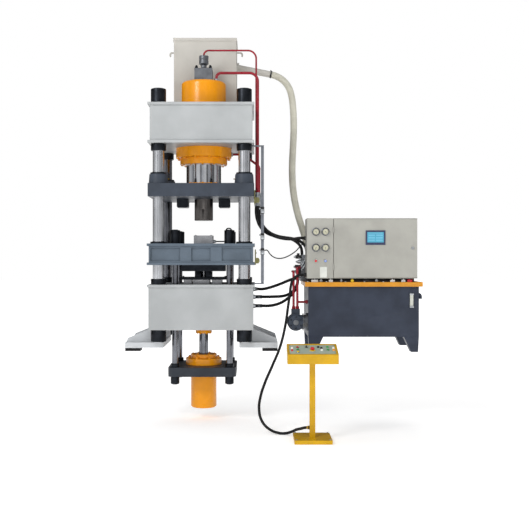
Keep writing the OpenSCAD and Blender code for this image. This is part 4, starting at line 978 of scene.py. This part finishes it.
@dataclass
class Crown:
    """Upper beam, main cylinder and the prefill valve and tank on top."""

    beam_half: float = 533
    plate_edges: tuple[float, float] = (2572, 2204)
    flange_z: float = 2067
    gland_z: float = 1993
    block_top: float = 3048

    def build(self) -> None:
        """Makes the crown's pieces."""
        plain(("upper_beam", BEAM, 2.5), ("main_cylinder", ORANGE, 2), ("cylinder_gland", ORANGE, 2),
              ("prefill_valve", PHOSPHATE, 1.5), ("prefill_tank", GREY, 2))
        weld("upper_beam_welds", self.beam_half, self.plate_edges)
        heads = Shape(ORANGE)
        heads.bolt_ring((0, 0, self.flange_z), -UP, 284, 12, 16, 13, 15)
        heads.bolt_ring((0, 0, self.gland_z), -UP, 238, 12, 11, 7)
        heads.piece("cylinder_screws", "frame")
        self.studs()
        self.clamp()

    def studs(self) -> None:
        """Sets the nuts and studs that hold the prefill valve's block."""
        nuts = Shape(BLACK)
        for x, y in CORNERS:
            seat = Vector((75 * x, 75 * y, self.block_top))
            nuts.hexagon(seat, UP, 34, 18)
            nuts.bar(seat, seat + UP * 32, 11, 20, 1.5)
        nuts.piece("prefill_valve_studs", "frame")

    def clamp(self) -> None:
        """Puts the worm clamp round the suction hose's upper end."""
        start, second = (Vector(at) for at in Hoses.suction[:2])
        way = (second - start).normalized()
        band = Shape(BLACK)
        band.lathe([(38, -3), (42, -3), (42, 13), (38, 13)], start, way)
        top = start + way * 5 + UP * 45
        band.bar(top + FRONT * 14, top - FRONT * 14, 6, 16, 1)
        band.piece("suction_hose_clamp", "frame")


@dataclass
class Guides:
    """The four columns and their nuts."""

    column_top: float = 2756

    def build(self) -> None:
        """Makes the columns, the rear pair darker as painted shade, their nuts and the lifting threads in their
        tops.
        """
        # The rear pair of columns takes the chrome darkened as painted shade.
        Skin("columns", CHROME, 0).zone(SHADE_DARKENED_CHROME, (-600, 300, -1000), (600, 600, 4000)).piece()
        plain(("column_nuts", BLACK, 1.5))
        threads = Shape(BLACK)
        for x, y in CORNERS:
            threads.lathe([(15, 0), (19, 0), (19, 1), (15, 1)],
                          (x * COLUMN_AT, y * COLUMN_AT, self.column_top), UP, 24)
        threads.piece("column_lifting_threads", "frame")


@dataclass
class SlideUnit:
    """Slide with ram, punch and stop blocks."""

    bush_top: float = 1873
    ring_top: float = 1792
    striker: tuple[float, float] = (566, 1668)
    nipple_z: float = 1806
    boss_radius: float = 97

    def build(self) -> None:
        """Makes the slide's pieces."""
        plain(("slide_plate", SLIDE, 2.5), ("slide_bushes", BLACK, 1), ("main_ram", RAM_CHROME, 0),
              ("ram_flange", ORANGE, 2), ("upper_punch", OILED, 0.8), ("stop_blocks", BLACK, 1.5),
              ("slide_striker", OLIVE, 0.8))
        heads = Shape(ORANGE)
        heads.bolt_ring((0, 0, self.ring_top), UP, 202, 8, 8, 7)
        guide_screws(heads, self.bush_top, *self.striker)
        heads.piece("slide_screws", "slide")
        self.nipples()

    def nipples(self) -> None:
        """Screws a grease nipple into the inner side of each boss."""
        brass = Shape(BRASS)
        for x, y in CORNERS:
            out = -RIGHT * x
            seat = (x * (COLUMN_AT - self.boss_radius), y * COLUMN_AT, self.nipple_z)
            brass.hexagon(seat, out, 13, 7)
            brass.lathe([(0, 0), (3.5, 0), (3.5, 12), (4.5, 15), (2.5, 19), (0, 19)], seat, out, 20)
        brass.piece("slide_grease_nipples", "slide")


@dataclass
class DieUnit:
    """Floating die plate with its tie rods, yoke and withdrawal cylinder."""

    collar_top: float = 1148
    die_top: float = 1222
    striker: tuple[float, float] = (573, 1030)
    flange_top: float = -115
    end_ring_top: float = -72

    def build(self) -> None:
        """Makes the die set's pieces."""
        plain(("die_plate", DIE_PLATE, 2.5), ("die_collars", BLACK, 1))
        die = Skin("die", GROUND, 1)
        die.zone(ZINC, (104, -60, 1130), (140, 0, 1190))
        die.zone(RUBBER, (140, -60, 1130), (330, 0, 1330))
        die.zone(ZINC, (290, -60, 1240), (330, 0, 1273))
        die.piece()
        # The tie rods take the chrome darkened as painted shade, and the yoke the slate paint darkened as
        # painted shade.
        plain(("tie_rods", SHADE_DARKENED_CHROME, 0), ("tie_rod_nuts", BLACK, 1.5), ("yoke", YOKE_PAINTED_SHADE, 2.5),
              ("withdrawal_cylinder", ORANGE, 2), ("withdrawal_gland", ORANGE, 1.5),
              ("die_striker", OLIVE, 0.8))
        heads = Shape(ORANGE)
        heads.bolt_ring((0, 0, self.flange_top), UP, 170, 8, 14, 18, 22.5)
        heads.bolt_ring((0, 0, self.end_ring_top), UP, 118, 6, 9, 10)
        heads.use(BLACK).bolt_ring((0, 0, self.die_top), UP, 118, 4, 9, 5, 45)
        guide_screws(heads, self.collar_top, *self.striker)
        heads.piece("die_set_screws", "die_set")


@dataclass
class BaseUnit:
    """Lower beam, feet and what stands on and under the beam."""

    beam_half: float = 546
    plate_edge: float = 671
    rod_flange_z: float = 154
    pad_top: float = 32
    spacer_top: float = 768

    def build(self) -> None:
        """Makes the base's pieces."""
        plain(("lower_beam", BEAM, 2.5))
        # The feet's paint is the beam's, painted lighter against the beam's shadow.
        Skin("press_feet", FEET_PAINTED_LIGHTER, 2, level=self.pad_top).zone(
            RUBBER, (-1500, -1500, -1), (1500, 1500, self.pad_top)).piece()
        # The withdrawal rod takes the chrome darkened as painted shade.
        plain(("withdrawal_rod", SHADE_DARKENED_CHROME, 0), ("rod_flange", ORANGE, 1.5), ("spacer_blocks", GROUND, 1),
              ("lower_punch_holder", BLACK, 1), ("lower_punch", GROUND, 0))
        weld("lower_beam_welds", self.beam_half, (self.plate_edge,))
        heads = Shape(ORANGE)
        heads.bolt_ring((0, 0, self.rod_flange_z), -UP, 69, 6, 8, 9)
        heads.use(BLACK)
        for x, y in product((-235, 235), (-150, 150)):
            heads.screw((x, y, self.spacer_top), UP, 10, 10)
        heads.piece("base_screws", "frame")


@dataclass
class Pipework:
    """Red pipes, their fittings and the stroke rail."""

    switches: tuple[float, ...] = (1010, 1170, 1450)
    ferrule_zs: tuple[float, ...] = (1554, 1570, 1586, 1602)
    ferrule_steps: tuple[float, ...] = (0, 9, 18)
    crimp: tuple[float, float] = (18.6, 2)

    def build(self) -> None:
        """Makes pipes, fittings and rail."""
        plain(("pilot_pipe", RED, 0), ("pressure_pipe", RED, 0), ("return_pipe", RED, 0))
        Skin("pipe_fittings", ZINC, 1).zone(BLACK, (570, -200, 420), (660, 0, 690)).piece()
        rail = Skin("stroke_rail", DRAWN, 0.8)
        for z in self.switches:
            rail.zone(BLACK_PLASTIC, (621, -346, z - 1), (663, -306.5, z + 71))
            rail.zone(ZINC, (604, -346, z + 40), (620, -306.5, z + 64))
        rail.piece()
        self.crimps()
        self.covers()

    def crimps(self) -> None:
        """Presses rings into the ferrules at the hoses' ends. Those of the longer ports stand further back."""
        rings = Shape(ZINC)
        drops = (Hoses.pilot[0], Hoses.pressure[0], Hoses.back[0])
        for (x, y, _), z in product(drops, self.ferrule_zs):
            rings.ring((x, y, z), UP, *self.crimp)
        for x, y, z in (Hoses.lower[0], Hoses.left[0], Hoses.right[0]):
            first = x - (25 if x > 600 else 5)
            for back in self.ferrule_steps:
                rings.ring((first - back, y, z), RIGHT, *self.crimp)
        rings.piece("hose_crimp_rings", "frame")

    def covers(self) -> None:
        """Puts a zinc cover plate with screws on each limit switch."""
        plates = Shape(ZINC)
        for z in self.switches:
            plates.block((625, -346, z + 5), (659, -344, z + 46), 0.6)
            for x in (630, 654):
                plates.screw((x, -346, z + 10), FRONT, 2.6, 2, 12)
        plates.piece("limit_switch_covers", "frame")


@dataclass
class PowerUnit:
    """Oil tank, cover, pump and valve block."""

    cover_top: float = 727
    cover_screw_xs: range = range(1110, 2290, 196)
    cover_screw_ys: tuple[float, float] = (-568, 318)
    pump: tuple[float, float, float] = (991, -400, 303)
    pump_face: float = -505
    pump_ports: tuple[float, float] = (970, 1010)
    port_rise: float = 138
    tank_inlet: tuple[float, float] = (1117, 513)
    block_face: float = 1060
    block_ports: tuple[tuple[float, float], ...] = ((-55, 830), (-105, 870))
    solenoids: tuple[tuple[float, float], ...] = ((-150, 830), (0, 880))
    stack_y: float = -140
    stack_top: float = 1012
    hose_ends: tuple[tuple[float, float], ...] = ((1075, -80), (1140, -40))
    # The oil level glass: its middle, its face and the heights of its ends
    glass_x: float = 2189
    glass_face: float = -570
    glass_ends: tuple[tuple[float, float], ...] = ((462, 482), (593, 613))
    # Left end, width and finish of the bits that show under the cabinet
    bits: tuple[tuple[float, float, Finish], ...] = (
        (1150, 70, PALE_PLASTIC), (1236, 30, ZINC), (1330, 44, PALE_PLASTIC), (1452, 20, ZINC),
        (1560, 30, YELLOW_PLASTIC), (1690, 60, BLACK_PLASTIC), (1815, 26, ZINC), (1970, 48, PALE_PLASTIC),
        (2086, 40, PALE_PLASTIC), (2148, 52, RED_PLASTIC))

    def build(self) -> None:
        """Makes the power unit's pieces."""
        # The level glass glows faintly as painted light; it is no lamp.
        Skin("oil_tank", OIL_TANK, 1.5).zone(OIL_GLASS_PAINTED_GLOW, (2171, -566, 470), (2207, -550.5, 605)).piece()
        plain(("tank_legs", OIL_TANK, 2), ("tank_cover", COVER, 2))
        manifold = Skin("valve_manifold", PHOSPHATE, 1.2)
        manifold.zone(ZINC, (1000, -200, 700), (1059.5, 30, 800))
        for y, z in self.solenoids:
            manifold.zone(BLACK_PLASTIC, (995, y - 26, z - 26), (1059.5, y + 26, z + 26))
            manifold.zone(ZINC, (980, y - 13, z - 13), (1001.9, y + 13, z + 13))
        manifold.zone(ZINC, (1050, -103, 906), (1165, -15, 995))
        manifold.piece()
        Skin("pump", PUMP, 2).zone(PHOSPHATE, (1064, -600, 150), (1120, -200, 460)).piece()
        plain(("pump_pipes", RED, 0))
        self.nuts()
        self.valves()
        self.tray()
        self.gauge()

    def nuts(self) -> None:
        """Adds pipe nuts, the pump's cover screws and the cover's hold-down screws."""
        nuts = Shape(RED)
        x, y, z = self.pump
        for port_x in self.pump_ports:
            nuts.hexagon((port_x, y, z + self.port_rise), UP, 38, 26)
        for port_y, port_z in self.block_ports:
            nuts.hexagon((self.block_face, port_y, port_z), -RIGHT, 38, 24)
        inlet_x, inlet_z = self.tank_inlet
        nuts.hexagon((inlet_x, y, inlet_z), -RIGHT, 36, 22)
        face = (x, self.pump_face, z)
        nuts.use(BLACK).bolt_ring(face, FRONT, 58, 6, 7, 8, 30)
        nuts.use(PHOSPHATE).lathe([(0, 0), (30, 0), (28, 8), (14, 11), (0, 11)], face, FRONT, 32)
        nuts.use(ZINC)
        for at_x, at_y in product(self.cover_screw_xs, self.cover_screw_ys):
            nuts.hexagon((at_x, at_y, self.cover_top), UP, 17, 7)
        nuts.piece("power_unit_screws", "frame")

    def valves(self) -> None:
        """Stacks a second valve with its solenoids and plugs on the valve block."""
        stack = Shape(ZINC)
        stack.block((1064, -176, 905), (1089, -104, 930), 1.5)
        y, top = self.stack_y, self.stack_top
        stack.use(PHOSPHATE).block((1068, y - 32, 966), (1206, y + 32, top), 2)
        for z, right, shell in ((936, 1089, ZINC), (989, 1067, BLACK_PLASTIC)):
            left = right - 62
            stack.use(shell)
            stack.bar((left, y, z), (right + 2, y, z), 20, edge=2)
            stack.block((left + 12, y - 16, z + 17), (left + 40, y + 16, z + 40), 2)
            stack.use(ZINC)
            stack.hexagon((left, y, z), -RIGHT, 26, 12)
            stack.bar((left - 24, y, z), (left, y, z), 8, 16, 1)
        stack.use(BLACK)
        for x, side in product((1080, 1194), (-24, 24)):
            stack.screw((x, y + side, top), UP, 5, 5, 14)
        stack.use(ZINC)
        for x, y in self.hose_ends:
            stack.hexagon((x, y, 915), UP, 44, 24)
            for z in (955, 968, 981):
                stack.ring((x, y, z), UP, 18.4, 2)
        for right, left, high, low in ((1100, 1066, 950, 892), (1112, 1070, 925, 850)):
            bends = ((right, -172, high), (right, -196, high), (left, -196, low), (left, -178, low))
            for start, end in zip(bends, bends[1:]):
                stack.bar(start, end, 6, 16)
            for seat in ((right, -175, high), (left, -180, low)):
                stack.hexagon(seat, FRONT, 19, 11)
        stack.piece("stacked_valves", "frame")

    def tray(self) -> None:
        """Lays the cable tray under the cabinet, with the clips and connectors that show at its front."""
        top = self.cover_top
        tray = Shape(BLACK_PLASTIC)
        tray.block((1120, -420, top + 1), (2236, -408, 763), 1)
        tray.block((1200, -520, top + 1), (2150, -505, top + 14), 2)
        for left, width, finish in self.bits:
            tray.use(finish).block((left, -538, top), (left + width, -506, top + 24), 3)
            middle = left + width / 2
            tray.bar((middle, -522, top + 24), (middle, -522, top + 33), 7, 16, 1)
        tray.piece("cable_tray", "frame")

    def gauge(self) -> None:
        """Holds the oil level glass between two banjo blocks."""
        ends = Shape(ZINC)
        x, y = self.glass_x, self.glass_face
        for low, high in self.glass_ends:
            ends.block((x - 21, y, low), (x + 21, y + 20, high), 2)
            ends.hexagon((x, y, (low + high) / 2), FRONT, 17, 6)
        ends.piece("oil_level_ends", "frame")


@dataclass
class CabinetUnit:
    """Control cabinet with its door, gauges, buttons and screen."""

    front: float = -568
    glass: float = -574.5
    gauge_xs: tuple[float, float] = (1194, 1293)
    gauge_zs: tuple[float, float] = (1084, 1249)
    blue_button: tuple[float, float, float] = (1293, -582, 946)
    # Middle of the bare plate along and up the panel, half its size and its screws' inset
    plate: tuple[float, float] = (1273, 829)
    plate_half: tuple[float, float] = (36, 55)
    plate_inset: float = 7
    lock: tuple[float, float, float] = (2198, -578, 1080)
    # Turn of each gauge's needle from straight up, in degrees
    needles: tuple[float, ...] = (205, 160, 190, 140)

    def build(self) -> None:
        """Makes the cabinet's pieces."""
        shell = Skin("cabinet", CABINET, 1.2)
        shell.zone(BLACK_PLASTIC, (1060, -560, 700), (1102.5, -200, 1400))
        shell.zone(RUBBER, (1100, -560, 726), (2260, -190, 764))
        shell.zone(BEZEL, (1170, -577, 920), (1320, -568.5, 972))
        shell.piece()
        Skin("cabinet_door", CABINET, 1.2).zone(ZINC, (2180, -580, 1060), (2216, -568.5, 1100)).piece()
        gear = Skin("control_gear", PALE_PLASTIC, 1)
        gear.zone(BLACK_PLASTIC, (1459, -360, 780), (1722, -219, 1400))
        gear.zone(GREEN_PLASTIC, (1733, -360, 780), (1896, -219, 1400))
        gear.piece()
        plain(("touchscreen", DARK_BEZEL, 1.2), ("pressure_gauges", PHOSPHATE, 0.6),
              ("red_button", RED_PLASTIC, 1), ("blue_button", BLUE_PLASTIC, 1))
        self.dials()
        self.display()
        self.panel()

    def dials(self) -> None:
        """Prints the gauges' dials, with ticks and a needle each."""
        face = self.front - 26
        dial = Shape(DIAL)
        for needle, (x, z) in zip(self.needles, product(self.gauge_xs, self.gauge_zs)):
            middle = Matrix.Translation(mm(x, 0, z))
            dial.use(DIAL).bar((x, face, z), (x, face - 1, z), 29.6, 48)
            dial.use(BLACK_PLASTIC)
            for i in range(21):
                turn = Matrix.Rotation(math.radians(135 - 13.5 * i), 4, "Y")
                inner = 21 if i % 5 == 0 else 24
                dial.block((-0.6, face - 1.4, inner), (0.6, face - 0.9, 27.5), 0, middle @ turn)
            turn = Matrix.Rotation(math.radians(needle), 4, "Y")
            dial.block((-0.9, face - 2.6, -7), (0.9, face - 2, 23), 0, middle @ turn)
            dial.bar((x, face - 1, z), (x, face - 3.2, z), 3.5, 20, 0.4)
        dial.piece("gauge_dials", "frame")

    def display(self) -> None:
        """Lights the touchscreen, with plain fields in two columns under a bar."""
        back, face = self.glass - 0.7, self.glass - 1.2
        lit = Shape(SCREEN)
        lit.block((1727, self.glass - 0.8, 1138), (1897, self.glass, 1245))
        lit.use(SCREEN_FIELD)
        for z, x in product((1152, 1178, 1204), (1738, 1818)):
            lit.block((x, face, z), (x + 68, back, z + 16))
        lit.block((1738, face, 1231), (1886, back, 1239))
        lit.piece("touchscreen_display", "door")

    def panel(self) -> None:
        """Adds the bare plate on the gauge panel, the lock's key slot and the blue button's lens."""
        face = self.front - 1.6
        (x, z), (half_x, half_z) = self.plate, self.plate_half
        plate = Shape(PLATE)
        plate.block((x - half_x, face, z - half_z), (x + half_x, self.front, z + half_z), 0.5)
        plate.use(ZINC)
        off_x, off_z = half_x - self.plate_inset, half_z - self.plate_inset
        for at_x, at_z in product((x - off_x, x + off_x), (z - off_z, z + off_z)):
            plate.screw((at_x, face, at_z), FRONT, 2.6, 1.6, 12)
        plate.piece("bare_plate", "frame")
        x, y, z = self.lock
        slot = Shape(BLACK_PLASTIC)
        slot.block((x - 1.6, y - 0.8, z - 7), (x + 1.6, y + 0.4, z + 7), 0.3)
        slot.use(ZINC).lathe([(9, 0), (15, 0), (14, 1.6), (9, 1.6)], self.lock, FRONT, 32)
        slot.piece("lock_key_slot", "door")
        lens = Shape(WHITE_LENS)
        lens.lathe([(0, 0), (5, 0), (4, 1.6), (0, 2.2)], self.blue_button, FRONT, 28)
        lens.piece("blue_button_lens", "blue_push")


@dataclass
class ConsoleUnit:
    """Operator console on its stand."""

    # Middle of the front edge of the sloping panel, and its slope
    origin: tuple[float, float, float] = (1115, -1374, 60)
    slope: float = math.atan2(77, 280)
    sink: float = 5
    # Places along the panel and up it
    lamps: tuple[tuple[float, float, Finish], ...] = (
        (-195, 180, WHITE_LENS), (-195, 120, RED_PLASTIC), (60, 205, BLACK_PLASTIC), (90, 130, WHITE_LENS),
        (90, 180, BLACK_PLASTIC), (150, 205, GREEN_PLASTIC), (205, 130, AMBER_LENS), (205, 180, WHITE_LENS))
    bezels: tuple[tuple[float, float], ...] = ((150, 130), (-140, 200), (-140, 140), (-140, 80), (-55, 200))
    stop: tuple[float, float] = (0, 130)
    panel_screws: tuple[tuple[float, float], ...] = ((-212, 212), (32, 258))
    # Middle of the base plate's top, and its screws' distance from there each way
    base: tuple[float, float, float] = (1115, -1234, -742)
    base_screws: tuple[float, float] = (160, 180)

    def on_panel(self) -> Matrix:
        """Turns a place on the panel, along it, up it and off it, into the press's frame, in metres."""
        return Matrix.Translation(mm(*self.origin)) @ Matrix.Rotation(self.slope, 4, "X")

    def build(self) -> None:
        """Makes the console's pieces."""
        Skin("console_stand", YELLOW, 2).zone(BLACK_PLASTIC, (1072, -1260, -690), (1087, -1200, -640)).piece()
        space = self.on_panel().inverted()
        box = Skin("console_box", YELLOW, 1.2).zone(PANEL, (-222, 20, -5.5), (222, 270, -4.5), space)
        fittings = [(u, v, BEZEL, 15.5, 1) for u, v in self.bezels]
        fittings += [(u, v, finish, 13.5, 8) for u, v, finish in self.lamps]
        fittings.append((*self.stop, YELLOW_PLASTIC, 29, -1))
        for u, v, finish, half, top in fittings:
            box.zone(finish, (u - half, v - half, -4.9), (u + half, v + half, top), space)
        box.piece()
        plain(("emergency_stop", RED_PLASTIC, 0.8), ("selector_switch", BLACK_PLASTIC, 0.8),
              ("start_button", GREEN_PLASTIC, 0.8), ("stop_button", RED_PLASTIC, 0.8),
              ("raise_button", GREEN_PLASTIC, 0.8), ("lower_button", YELLOW_PLASTIC, 0.8))
        self.trim()

    def trim(self) -> None:
        """Adds the selector's pointer line, the panel's screws and the base's screws."""
        turn = self.on_panel()
        pointer = Shape(PLATE)
        u, v = self.bezels[-1]
        pointer.block((u - 1, v + 1, 15.8), (u + 1, v + 10, 16.4), 0, turn)
        pointer.piece("selector_pointer", "selector")
        screws = Shape(ZINC)
        for u, v in product(*self.panel_screws):
            screws.screw(turn @ mm(u, v, -self.sink) / MM, turn.to_3x3() @ UP, 4, 3, 14)
        base_x, base_y, base_z = self.base
        off_x, off_y = self.base_screws
        for x, y in CORNERS:
            screws.hexagon((base_x + off_x * x, base_y + off_y * y, base_z), UP, 17, 7)
        screws.piece("console_screws", "frame")


def main() -> None:
    """Builds the studio, the cords and every sub-assembly."""
    logging.basicConfig(level=logging.INFO, format="%(message)s")
    for part in (Studio(), Hoses(), Crown(), Guides(), SlideUnit(), DieUnit(), BaseUnit(), Pipework(),
                 PowerUnit(), CabinetUnit(), ConsoleUnit()):
        part.build()
        LOG.info("built %s", type(part).__name__)


if __name__ == "__main__":
    main()
